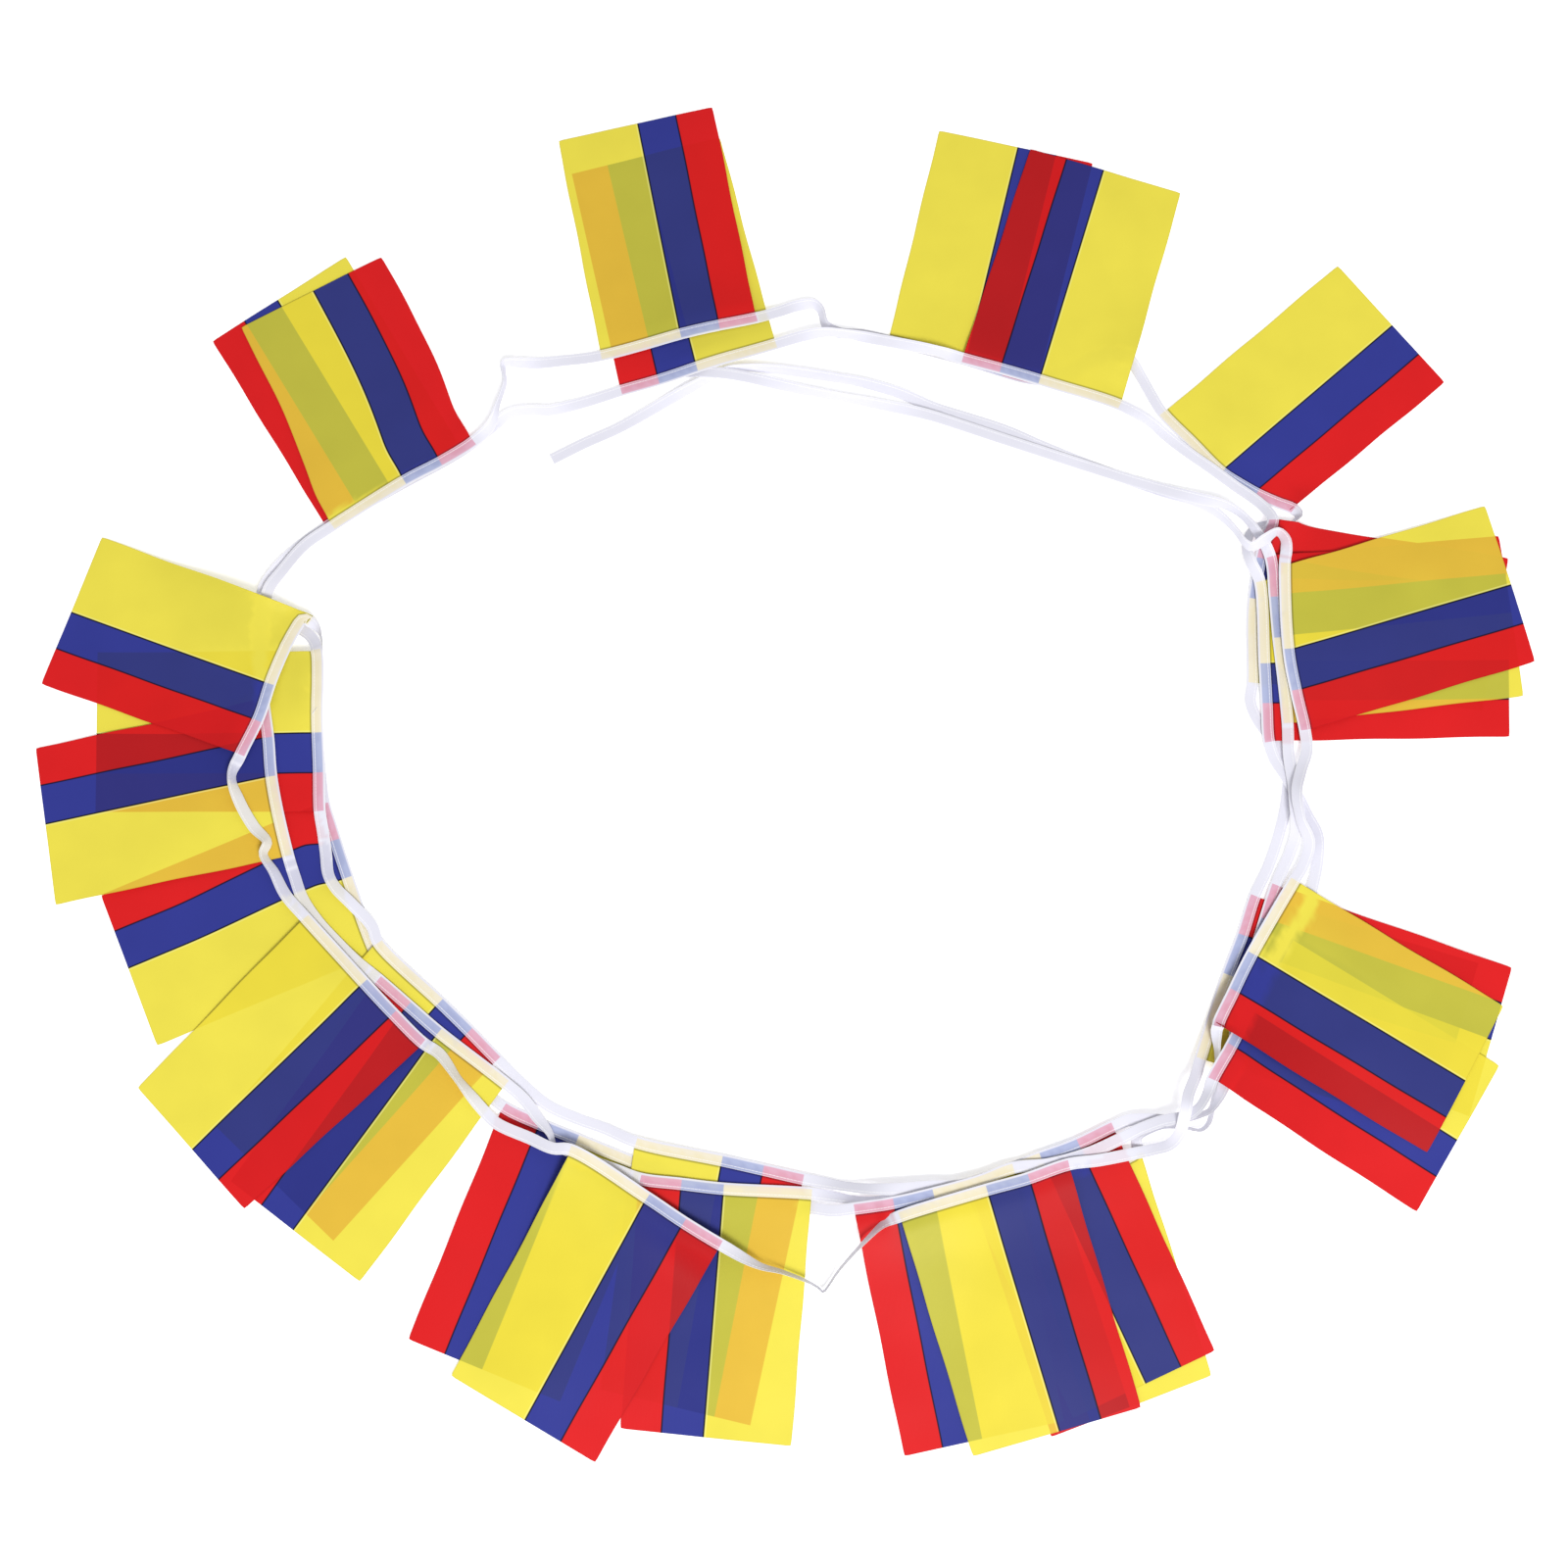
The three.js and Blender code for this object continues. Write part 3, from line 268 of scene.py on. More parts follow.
             (-0.246, 0.373, 65, 22), (-0.245, 0.356, 75, 22), (-0.250, 0.335, 78, 22),
             (-0.256, 0.316, 40, 22)]),
    dict(name="24", layer=20, sway=0.0028,
         heading=[(-0.271, 0.302), (-0.299, 0.284), (-0.330, 0.267), (-0.392, 0.226)],
         hem=[(-0.357, 0.473), (-0.479, 0.407)],
         tape=[(-0.416, 0.209, 0, 24), (-0.434, 0.185, 0, 24), (-0.444, 0.168, 20, 24),
             (-0.449, 0.137, 0, 24), (-0.449, 0.103, 0, 40)]),
    dict(name="25", layer=50,
         heading=[(-0.446, 0.072), (-0.441, 0.039), (-0.437, 0.004), (-0.421, -0.062)],
         hem=[(-0.641, 0.031), (-0.617, -0.104)],
         tape=[(-0.415, -0.080, 0, 30), (-0.408, -0.098, 0, 30), (-0.394, -0.118, 0, 30),
             (-0.377, -0.136, 0, 30), (-0.360, -0.152, 0, 30)]),
    dict(name="26", layer=24,
         heading=[(-0.341, -0.167), (-0.315, -0.189), (-0.289, -0.211), (-0.232, -0.254)],
         hem=[(-0.460, -0.334), (-0.350, -0.416)],
         tape=[(-0.217, -0.267, 0, 30), (-0.205, -0.282, 20, 30), (-0.195, -0.294, 60, 30),
             (-0.189, -0.307, 80, 30), (-0.177, -0.312, 60, 30), (-0.159, -0.318, 20, 30),
             (-0.139, -0.325, 0, 30)]),
    dict(name="27", layer=20,
         heading=[(-0.119, -0.332), (-0.086, -0.336), (-0.051, -0.340), (0.023, -0.344)],
         hem=[(-0.134, -0.533), (0.006, -0.547)],
         tape=[(0.040, -0.3465, 30, 12), (0.057, -0.349, 50, 12), (0.075, -0.349, 60, 12),
             (0.095, -0.345, 60, 12), (0.115, -0.341, 60, 12), (0.134, -0.342, 70, 12)]),
    dict(name="28", layer=10,
         heading=[(0.156, -0.343), (0.224, -0.328), (0.293, -0.310)],
         hem=[(0.218, -0.540), (0.351, -0.491)],
         tape=[(0.294, -0.298, 40, 26), (0.308, -0.290, 40, 26), (0.320, -0.288, 60, 26),
             (0.336, -0.2905, 70, 26), (0.347, -0.292, 75, 26), (0.3535, -0.286, 75, 26),
             (0.357, -0.271, 72, 26), (0.359, -0.259, 75, 26), (0.3605, -0.243, 75, 26),
             (0.3605, -0.227, 72, 26), (0.360, -0.217, 60, 26)]),
    dict(name="29", layer=40,
         heading=[(0.3605, -0.207), (0.3755, -0.178), (0.3925, -0.147), (0.432, -0.083)],
         hem=[(0.535, -0.311), (0.605, -0.189)],
         tape=[(0.439, -0.072, 0, 40), (0.445, -0.052, 20, 40), (0.437, -0.032, 50, 40),
             (0.434, -0.010, 40, 40), (0.439, 0.009, 20, 40), (0.446, 0.028, 0, 40)]),
    dict(name="30", layer=40,
         heading=[(0.445, 0.0455), (0.4385, 0.077), (0.433, 0.112), (0.432, 0.191)],
         hem=[(0.646, 0.106), (0.611, 0.245)],
         tape=[(0.434, 0.203, 0, 45), (0.433, 0.212, 50, 45), (0.426, 0.2175, 70, 45),
             (0.414, 0.210, 20, 45), (0.403, 0.204, 50, 45), (0.397, 0.209, 75, 45),
             (0.391, 0.220, 75, 6), (0.378, 0.236, 60, 6), (0.360, 0.248, 30, 6), (0.327, 0.259, 0, 6),
             (0.266, 0.282, 0, 6), (0.226, 0.299, 0, 6), (0.195, 0.313, 0, 6), (0.163, 0.324, 0, 6),
             (0.132, 0.334, 0, 6), (0.101, 0.347, 20, 6), (0.069, 0.356, 40, 6), (0.053, 0.359, 50, 6),
             (0.023, 0.364, 40, 6), (-0.007, 0.368, 50, 6), (-0.035, 0.369, 70, 6),
             (-0.050, 0.367, 70, 6), (-0.066, 0.360, 60, 6), (-0.097, 0.343, 20, 6),
             (-0.144, 0.316, 0, 6), (-0.174, 0.302, 0, 6), (-0.203, 0.287, 0, 6)]),
]
FLAG_WIDTH = 0.140
FLAG_LENGTH = 0.197
TAPE_WIDTH = 0.010
PLAIN_HEIGHT = 0.0014
HEADING_HEIGHT = 0.0030
STEPS_A_ROW = 24
TAPE_STEP = 0.0028
COLUMNS = 36
TIGHTEST_HALF_WIDTH = 0.7
TURN_WINDOW = 3
LEAN_SOFTNESS = 2.0
TINY = 1e-6


def smooth_line(points, steps):
    """A smooth line through points, in short steps, and the place of each step in the row."""
    points = np.array(points, float)
    reach = np.vstack([2 * points[0] - points[1], points, 2 * points[-1] - points[-2]])
    share = np.arange(steps)[:, None] / steps
    line, places = [], []
    for row in range(len(points) - 1):
        p0, p1, p2, p3 = reach[row:row + 4]
        d0, d1, d2 = (np.linalg.norm(b - a) ** 0.5 for a, b in ((p0, p1), (p1, p2), (p2, p3)))
        leave = d1 * ((p1 - p0) / d0 - (p2 - p0) / (d0 + d1) + (p2 - p1) / d1)
        arrive = d1 * ((p2 - p1) / d1 - (p3 - p1) / (d1 + d2) + (p3 - p2) / d2)
        square = 3 * (p2 - p1) - 2 * leave - arrive
        cube = 2 * (p1 - p2) + leave + arrive
        line.append(p1 + leave * share + square * share ** 2 + cube * share ** 3)
        places.append(row + share[:, 0])
    return np.vstack([*line, points[-1]]), np.append(np.concatenate(places), len(points) - 1)


def smoothed(values, width, axis=0):
    """Values softened along one axis over about this many steps, with the ends kept in place."""
    reach = int(3 * width) + 1
    weights = np.exp(-0.5 * (np.arange(-reach, reach + 1) / width) ** 2)
    weights /= weights.sum()
    moved = np.moveaxis(np.asarray(values, float), axis, 0)
    before = 2 * moved[:1] - moved[1:reach + 1][::-1]
    after = 2 * moved[-1:] - moved[-reach - 1:-1][::-1]
    longer = np.concatenate([before, moved, after])
    soft = sum(w * longer[k:k + len(moved)] for k, w in enumerate(weights))
    return np.moveaxis(soft, 0, axis)


rows = [(x, y, math.radians(roll), layer) for x, y, roll, layer in FIRST_TAPE]
marks = []
for flag in STRING:
    first = len(rows)
    rows += [(x, y, 0, flag["layer"]) for x, y in flag["heading"]]
    marks.append((first, len(rows) - 1))
    rows += [(x, y, math.radians(roll), layer) for x, y, roll, layer in flag["tape"]]
fine_line, fine_place = smooth_line([row[:2] for row in rows], STEPS_A_ROW)
fine_length = np.append(0, np.cumsum(np.linalg.norm(np.diff(fine_line, axis=0), axis=1)))

# Stations along the whole tape: on a heading one for each of the flag's columns, else even steps
stretches = []
last_mark = 0
for number, (first, last) in enumerate(marks):
    stretches += [(last_mark, first, None), (first, last, number)]
    last_mark = last
stretches.append((last_mark, len(rows) - 1, None))
station_length, station_flag = [], []
for first, last, number in stretches:
    ends = np.interp((first, last), fine_place, fine_length)
    count = COLUMNS if number is not None else max(3, round((ends[1] - ends[0]) / TAPE_STEP))
    lengths = np.linspace(*ends, count + 1)
    if number is None:
        lengths = lengths[(0 if first == 0 else 1):(None if last == len(rows) - 1 else -1)]
    else:
        STRING[number]["first_station"] = len(station_length)
    station_length += list(lengths)
    station_flag += [-1 if number is None else number] * len(lengths)
station_length, station_flag = np.array(station_length), np.array(station_flag)
station_place = np.interp(station_length, fine_length, fine_place)
middle = np.stack([np.interp(station_length, fine_length, fine_line[:, k]) for k in (0, 1)], 1)
shift = np.array(aim)[:2]
middle += shift
table_rolls, table_layers = (np.array([row[k] for row in rows]) for k in (2, 3))
layer = table_layers[np.rint(station_place).astype(int)]
roll = np.interp(station_place, np.arange(len(rows)), table_rolls)

along = np.gradient(middle, station_length, axis=0)
along /= np.linalg.norm(along, axis=1)[:, None]
left = np.stack([-along[:, 1], along[:, 0]], 1)

# In a sharp turn the tape rolls on to its edge
heading_angle = np.unwrap(np.arctan2(along[:, 1], along[:, 0]))
turn = np.zeros(len(middle))
turn[TURN_WINDOW:-TURN_WINDOW] = np.abs(
    heading_angle[2 * TURN_WINDOW:] - heading_angle[:-2 * TURN_WINDOW])
span = np.full(len(middle), 2 * TURN_WINDOW * TAPE_STEP)
widest = np.minimum(1, TIGHTEST_HALF_WIDTH * span / np.maximum(turn, TINY) / (TAPE_WIDTH / 2))
roll = np.where(station_flag < 0, np.maximum(roll, np.arccos(widest)), 0)

# A flag hangs to the left or right of the tape's run, and the folded edge lies on its other side
station_side = np.zeros(len(middle))
for number, flag in enumerate(STRING):
    at = flag["first_station"] + COLUMNS // 2
    hem_middle = np.mean(flag["hem"], axis=0) + shift
    flag["side"] = float(np.sign(np.dot(hem_middle - middle[at], left[at])))
    start = flag["first_station"]
    station_side[start:start + COLUMNS + 1] = flag["side"]
known = np.flatnonzero(station_side)
nearest = known[np.abs(np.arange(len(middle))[:, None] - known[None, :]).argmin(1)]
station_side = station_side[nearest]

# The folded edge leads from one side of the tape's run to the other where the string turns back
lean = smoothed(np.where(station_side > 0, roll, math.pi - roll), LEAN_SOFTNESS)

# Heights of the tape's middle line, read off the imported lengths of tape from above
RAY_START = 0.2
RAY_STEP = 1e-5
FLAT_PAIR = 0.0002
EDGE_ROOM = 0.0004
TABLE_AIR = 0.0001
HEIGHT_SOFTNESS = 2.0
RAISED_FLAG, RAISED_BY, RAISED_REACH = 13, 0.009, 0.075


def packed_surface(node):
    """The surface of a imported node, ready for straight drops on to it."""
    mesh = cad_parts[node].data
    mesh.calc_loop_triangles()
    return BVHTree.FromPolygons([v.co for v in mesh.vertices],
                                [t.vertices for t in mesh.loop_triangles])


def heights_at(surface, x, y):
    """All heights at which a straight drop at x, y meets the surface, the highest first."""
    found, start = [], RAY_START
    while True:
        place = surface.ray_cast(Vector((x, y, start)), Vector((0, 0, -1)))[0]
        if place is None:
            return found
        if not found or found[-1] - place.z > FLAT_PAIR:
            found.append(place.z)
        start = place.z - RAY_STEP


tape_surfaces = [packed_surface(f"tape_{flag['name']}") for flag in STRING]
heading_order = np.array([flag["first_station"] for flag in STRING])
height = np.full(len(middle), np.nan)
expected = HEADING_HEIGHT / 2
for k in range(len(middle)):
    on_heading = station_flag[k] >= 0
    before = int(np.searchsorted(heading_order, k, side="right")) - 1
    after = min(before + 1, len(STRING) - 1)
    owners = {max(before, 0)} if on_heading else {max(before, 0), after}
    chord = HEADING_HEIGHT if on_heading else min(
        PLAIN_HEIGHT / math.cos(roll[k]), TAPE_WIDTH / max(math.sin(roll[k]), TINY))
    best = None
    for owner in owners:
        found = heights_at(tape_surfaces[owner], *middle[k])
        for i, top in enumerate(found):
            for bottom in found[i + 1:]:
                centre = (top + bottom) / 2
                fault = abs(centre - expected) + abs(top - bottom - chord)
                if best is None or fault < best[0]:
                    best = (fault, centre)
    if best:
        height[k] = expected = best[1]
seen = np.flatnonzero(~np.isnan(height))
height = np.interp(np.arange(len(height)), seen, height[seen])
height = smoothed(height, HEIGHT_SOFTNESS)
standing = np.abs(np.sin(lean)) * TAPE_WIDTH / 2 + np.abs(np.cos(lean)) * EDGE_ROOM
height = np.maximum(height, standing + TABLE_AIR)

# By the red end of flag 13 the tape stands well clear of the flags under it
from_raised = np.abs(station_length - station_length[heading_order[RAISED_FLAG - 1]])
height += RAISED_BY * np.exp(-(from_raised / RAISED_REACH) ** 2)

# Flags. Each is a rectangle of thin satin, 140 by 207 mm, hot-cut at its edges and printed right
# through in three bands. The last 10 mm of one short edge lie inside the folded tape. A flag rests
# on the surface and on whatever of the string lies under it, with soft waves of its own.

# The sheet, and how its heading lies in the fold of the tape
CLOTH_THICKNESS = 0.0003
FOLD_DEPTH = 0.009
FOLD_POWER = 1.5
FREE_OF_TAPE = 0.0008
HELD_SHARE = 0.45
PRESSED = 0.4
CUT_ANGLE = math.radians(40)
INSET_SHARE = 0.8
ROWS = 50

# The map of the highest cloth so far
CELL = 0.0025
MAP_MARGIN = 0.02
MAP_FINER = 3

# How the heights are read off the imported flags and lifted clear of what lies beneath
AIR = 0.00025
HEADING_HALF = 0.0006
PROBES = (-0.4, 0, 0.4)
PROBE_INSET = 0.012
PACKED_SOFTNESS = 2.6
PACKED_FROM = 0.16
LIFT_START, LIFT_FULL = 0.003, 0.014
LIFT_ROUNDS, LIFT_SOFTNESS = 6, 0.9
NEAR_GAP, NEAR_FADE = 0.0035, 0.011
TAPE_FADE = 0.004
TAPE_LINES = 5

# Soft waves up and down, and small bends from side to side
SEED = 30
WAVES = 5
WAVE_RISE = 0.0012
WAVE_LEVEL = 0.35
WAVE_START, WAVE_FULL = 0.02, 0.3
SHORTEST_WAVE, LONGEST_WAVE = 0.045, 0.13
WAVE_BEND, BENDS_A_FLAG = 0.012, 1.3
WOBBLE = 0.0003
WOBBLES_A_FLAG = 2.3
WOBBLE_FULL = 0.2
SLACK_FULL, SLACK_FADE, SLACK_END = 0.12, 0.15, 0.75
CORNER_PULL = 0.000564

# Colours of the print. Over white each band is what it turns back plus what it lets through
BLUE_FROM, YELLOW_FROM = 0.24, 0.487
TURNED_BACK = {"red": (0.49, 0.011, 0.013, 1), "blue": (0.027, 0.034, 0.21, 1),
               "yellow": (0.54, 0.51, 0.050, 1)}
LET_THROUGH = {"red": (0.26, 0.003, 0.003, 1), "blue": (0.008, 0.011, 0.09, 1),
               "yellow": (0.35, 0.265, 0.030, 1)}
THROUGH_TAPE = {"red": (0.80, 0.44, 0.57, 1), "blue": (0.46, 0.51, 0.75, 1),
                "yellow": (0.91, 0.835, 0.655, 1)}
PRINT = np.array([[TURNED_BACK[band][k] + LET_THROUGH[band][k] for k in range(3)]
                  for band in ("red", "blue", "yellow")])

low_corner = np.array(packed_box[0])[:2] - MAP_MARGIN
high_corner = np.array(packed_box[1])[:2] + MAP_MARGIN
map_shape = tuple(((high_corner - low_corner) / CELL).astype(int)[::-1] + 1)
top_map = np.zeros(map_shape)
top_colour = np.ones((*map_shape, 3))
top_is_tape = np.zeros(map_shape)


def cells_of(x, y):
    """The map's line and column under each point."""
    column = np.clip(((x - low_corner[0]) / CELL).astype(int), 0, map_shape[1] - 1)
    line = np.clip(((y - low_corner[1]) / CELL).astype(int), 0, map_shape[0] - 1)
    return line, column


def refined(grid, times):
    """The grid with this many times as many cells each way."""
    for axis in (0, 1):
        count = grid.shape[axis]
        at = np.linspace(0, count - 1, (count - 1) * times + 1)
        low = np.minimum(at.astype(int), count - 2)
        share = (at - low).reshape([-1 if k == axis else 1 for k in range(3)])
        grid = np.take(grid, low, axis) * (1 - share) + np.take(grid, low + 1, axis) * share
    return grid


def lay_on_map(grid, half_thickness, colours, is_tape):
    """Raises the map of the highest cloth so far to the top of this grid, and colours it."""
    fine = refined(grid, MAP_FINER)
    tops = fine[..., 2] + half_thickness
    cells = cells_of(fine[..., 0], fine[..., 1])
    np.maximum.at(top_map, cells, tops)
    highest = tops > top_map[cells] - TINY
    colour_grid = np.broadcast_to(colours, (*tops.shape, 3))
    top_colour[cells[0][highest], cells[1][highest]] = colour_grid[highest]
    top_is_tape[cells[0][highest], cells[1][highest]] = is_tape


def highest_near(x, y):
    """The highest cloth so far in the cell of each point and in the eight cells round it."""
    padded = np.pad(top_map, 1, mode="edge")
    reach = np.max([padded[i:i + map_shape[0], j:j + map_shape[1]]
                    for i in range(3) for j in range(3)], axis=0)
    return reach[cells_of(x, y)]


def smooth_step(value, start, end):
    """A share that rises smoothly from 0 at start to 1 at end."""
    share = np.clip((value - start) / (end - start), 0, 1)
    return share * share * (3 - 2 * share)


def waves(random, across, down):
    """Soft waves of a cloth that has been folded and laid out, from 0 to about 1."""
    total = np.zeros_like(across)
    for _ in range(WAVES):
        angle = random.uniform(0, math.pi)
        length = random.uniform(SHORTEST_WAVE, LONGEST_WAVE)
        way = across * FLAG_WIDTH * math.cos(angle) + down * FLAG_LENGTH * math.sin(angle)
        bend = WAVE_BEND * np.sin(2 * math.pi * (down * BENDS_A_FLAG + random.uniform()))
        total += np.sin(2 * math.pi * ((way + bend) / length + random.uniform()))
    return 0.5 + 0.5 * total / WAVES


def with_fold(inserted, root, free):
    """The free cloth with the two lines of points before it that lie inside the tape's fold."""
    for end, beside in ((0, 1), (-1, -2)):
        inserted[end] += (inserted[beside] - inserted[end]) * INSET_SHARE
    held = inserted * HELD_SHARE + root * (1 - HELD_SHARE)
    return np.concatenate([inserted[None], held[None], free])


def flag_outline(flag):
    """The grid of a flag from the folded tape to its hem, without heights yet."""
    start = flag["first_station"]
    at = slice(start, start + COLUMNS + 1)
    across = np.linspace(0, 1, COLUMNS + 1)
    hem = np.array(flag["hem"]) + shift
    hem_line = hem[0] * (1 - across[:, None]) + hem[1] * across[:, None]
    out = flag["side"] * left[at]
    flatness = np.abs(np.cos(lean[at]))[:, None]
    flag["inside"] = TAPE_WIDTH / 2 - FOLD_DEPTH * widest[at] ** FOLD_POWER
    inserted = middle[at] + out * flag["inside"][:, None] * flatness
    root = middle[at] + out * (TAPE_WIDTH / 2 + FREE_OF_TAPE) * flatness
    down = np.linspace(0, 1, ROWS + 1)[:, None, None]
    free = root * (1 - down) + hem_line * down
    return with_fold(inserted, root, free)


def middle_of(surface, x, y):
    """Height of the middle of a packed flag at x, y, or nothing beside it."""
    top = surface.ray_cast(Vector((x, y, RAY_START)), Vector((0, 0, -1)))[0]
    bottom = surface.ray_cast(Vector((x, y, -RAY_START)), Vector((0, 0, 1)))[0]
    return (top.z + bottom.z) / 2 if top and bottom else math.nan


def packed_heights(flag, free):
    """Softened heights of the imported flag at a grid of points, its rim read a little inside."""
    surface = packed_surface(f"flag_{flag['name']}")
    inner = free + (free.mean((0, 1)) - free) * PROBE_INSET
    z = np.array([[middle_of(surface, *point) for point in line] for line in inner])
    for column in z.T:
        seen = np.flatnonzero(~np.isnan(column))
        column[:] = np.interp(np.arange(len(column)), seen, column[seen])
    return smoothed(smoothed(z, PACKED_SOFTNESS, 0), PACKED_SOFTNESS, 1)


def lift_heading(flag, own):
    """Lifts the tape along a flag clear of what lies under it."""
    for share in PROBES:
        edge = middle[own] + flag["side"] * left[own] * TAPE_WIDTH * share
        need = highest_near(edge[:, 0], edge[:, 1]) + HEADING_HALF + AIR
        height[own] = np.maximum(height[own], np.where(need > HEADING_HALF + AIR, need, 0))


def lay_flag(number, flag):
    """Lays a flag on the highest cloth so far, and keeps its grid and how near it lies."""
    random = np.random.default_rng(SEED + number)
    own = slice(flag["first_station"], flag["first_station"] + COLUMNS + 1)
    lift_heading(flag, own)
    plan = flag_outline(flag)
    free = plan[2:]
    across, down = np.meshgrid(np.linspace(0, 1, COLUMNS + 1), np.linspace(0, 1, ROWS + 1))
    root_height = height[own] + np.sin(lean[own]) * (TAPE_WIDTH / 2 + FREE_OF_TAPE)
    settle = smooth_step(down, 0, PACKED_FROM)
    z = root_height * (1 - settle) + packed_heights(flag, free) * settle
    rise = WAVE_RISE * (waves(random, across, down) - WAVE_LEVEL)
    z += rise * smooth_step(down, WAVE_START, WAVE_FULL)
    lifting = smooth_step(down * FLAG_LENGTH, LIFT_START, LIFT_FULL)
    under = highest_near(free[..., 0], free[..., 1])
    need = under + CLOTH_THICKNESS / 2 + AIR
    for _ in range(LIFT_ROUNDS):
        z += lifting * np.maximum(need - z, 0)
        z = smoothed(smoothed(z, LIFT_SOFTNESS, 0), LIFT_SOFTNESS, 1)
        z = root_height * (1 - lifting) + z * lifting
    z += lifting * np.maximum(need - z, 0)

    sideways = free[:, -1:] - free[:, :1]
    sideways /= np.linalg.norm(sideways, axis=2, keepdims=True)
    wobble = np.sin(2 * math.pi * (down * WOBBLES_A_FLAG + random.uniform()))
    wobble = WOBBLE * wobble * (2 * across - 1)
    wobble += flag.get("sway", 0) * np.sin(2 * math.pi * np.sqrt(down))
    slack = flag.get("slack", 0) * (1 - across)
    slack *= smooth_step(down, 0, SLACK_FULL) * (1 - smooth_step(down, SLACK_FADE, SLACK_END))
    free += sideways * (wobble * smooth_step(down, 0, WOBBLE_FULL) - slack)[..., None]
    for corner, beside in ((0, 1), (-1, -2)):
        towards = free[-2, beside] - free[-1, corner]
        free[-1, corner] += towards / np.linalg.norm(towards) * CORNER_PULL

    inner_height = height[own] + np.sin(lean[own]) * flag["inside"]
    tops = with_fold(inner_height, root_height, z)
    flag["grid"] = np.concatenate([plan, tops[..., None]], axis=2)
    near = np.exp(-np.maximum(z - under - NEAR_GAP, 0) / NEAR_FADE)
    x, y = free[..., 0], free[..., 1]
    on_tape = np.mean([top_is_tape[cells_of(x + i * CELL / 2, y + j * CELL / 2)]
                       for i in (-1, 1) for j in (-1, 1)], axis=0)
    flag["near"], flag["on_tape"] = (
        np.concatenate([values[:1], values[:1], values]) for values in (near, on_tape))
    shares = np.linspace(0, 1, MAP_FINER * COLUMNS + 1)
    print_colours = PRINT[np.searchsorted((BLUE_FROM, YELLOW_FROM), shares)]
    lay_on_map(flag["grid"][1:], CLOTH_THICKNESS / 2, print_colours[None], 0)


def lay_tape(first, last):
    """Adds the tape between two stations to the map of the highest cloth."""
    tilt = np.abs(np.sin(roll[first:last + 1]))[:, None]
    shares = np.linspace(-0.5, 0.5, TAPE_LINES)[None, :]
    out = TAPE_WIDTH * shares * np.cos(roll[first:last + 1])[:, None]
    plan = middle[first:last + 1, None, :] + left[first:last + 1, None, :] * out[..., None]
    cells = cells_of(plan[..., 0], plan[..., 1])
    gap = np.maximum(height[first:last + 1, None] - tilt * TAPE_WIDTH / 2 - top_map[cells], 0)
    clear = np.exp(-gap / TAPE_FADE)[..., None]
    under_tape[first:last + 1] = 1 - clear * (1 - top_colour[cells])
    top = height[first:last + 1, None] + HEADING_HALF + tilt * TAPE_WIDTH / 2 + 0 * out
    lay_on_map(np.concatenate([plan, top[..., None]], axis=2), 0, np.ones(3), 1)


# Everything is laid in the order of its layer: in one layer the flags first, and then the tape
under_tape = np.ones((len(middle), TAPE_LINES, 3))
breaks = np.flatnonzero((np.diff(layer) != 0) | (np.diff(station_flag) != 0)) + 1
starts = np.append(0, breaks)
ends = np.append(breaks - 1, len(middle) - 1)
tasks = [(layer[a], 1, a, a, min(b + 1, len(middle) - 1)) for a, b in zip(starts, ends)]
tasks += [(flag["layer"], 0, flag["first_station"], number, 0)
          for number, flag in enumerate(STRING)]
for _, is_tape, _, first, last in sorted(tasks):
    if is_tape:
        lay_tape(first, last)
    else:
        lay_flag(first, STRING[first])


def sheet_mesh(name, grid, across, down, marks):
    """A closed thin sheet from a grid of points, with its print's shares as the UV map."""
    lines, columns = grid.shape[:2]
    d_line = np.gradient(grid, axis=0)
    d_column = np.gradient(grid, axis=1)
    normal = np.cross(d_column, d_line)
    normal /= np.linalg.norm(normal, axis=2, keepdims=True)
    normal *= np.sign(normal[..., 2:])
    normal[:2] *= PRESSED
    points = np.concatenate([(grid + normal * CLOTH_THICKNESS / 2).reshape(-1, 3),
                             (grid - normal * CLOTH_THICKNESS / 2).reshape(-1, 3)])
    number = np.arange(lines * columns).reshape(lines, columns)
    quads = np.stack([number[:-1, :-1], number[:-1, 1:], number[1:, 1:], number[1:, :-1]], -1)
    quads = quads.reshape(-1, 4)
    under = lines * columns
    rim = np.concatenate([number[0, :-1], number[:-1, -1], number[-1, :0:-1], number[:0:-1, 0]])
    after = np.roll(rim, -1)
    sides = np.stack([after, rim, rim + under, after + under], -1)
    faces = np.concatenate([quads, quads[:, ::-1] + under, sides])
    a, b, c = (grid.reshape(-1, 3)[quads[0, k]] for k in range(3))
    if np.cross(b - a, c - a)[2] < 0:
        faces = faces[:, ::-1]
    mesh = bpy.data.meshes.new(name)
    mesh.from_pydata(points.tolist(), [], faces.tolist())
    shares = np.stack([np.broadcast_to(across, (lines, columns)),
                       np.broadcast_to(down, (lines, columns))], -1).reshape(-1, 2)
    shares = np.concatenate([shares, shares])
    corners = np.zeros(len(mesh.loops), int)
    mesh.loops.foreach_get("vertex_index", corners)
    mesh.uv_layers.new(name="print").data.foreach_set("uv", shares[corners].ravel())
    for label, values in marks.items():
        mesh.attributes.new(label, "FLOAT", "POINT").data.foreach_set(
            "value", np.tile(values.ravel(), 2))
    mesh.polygons.foreach_set("use_smooth", [True] * len(mesh.polygons))
    mesh.set_sharp_from_angle(angle=CUT_ANGLE)
    return mesh


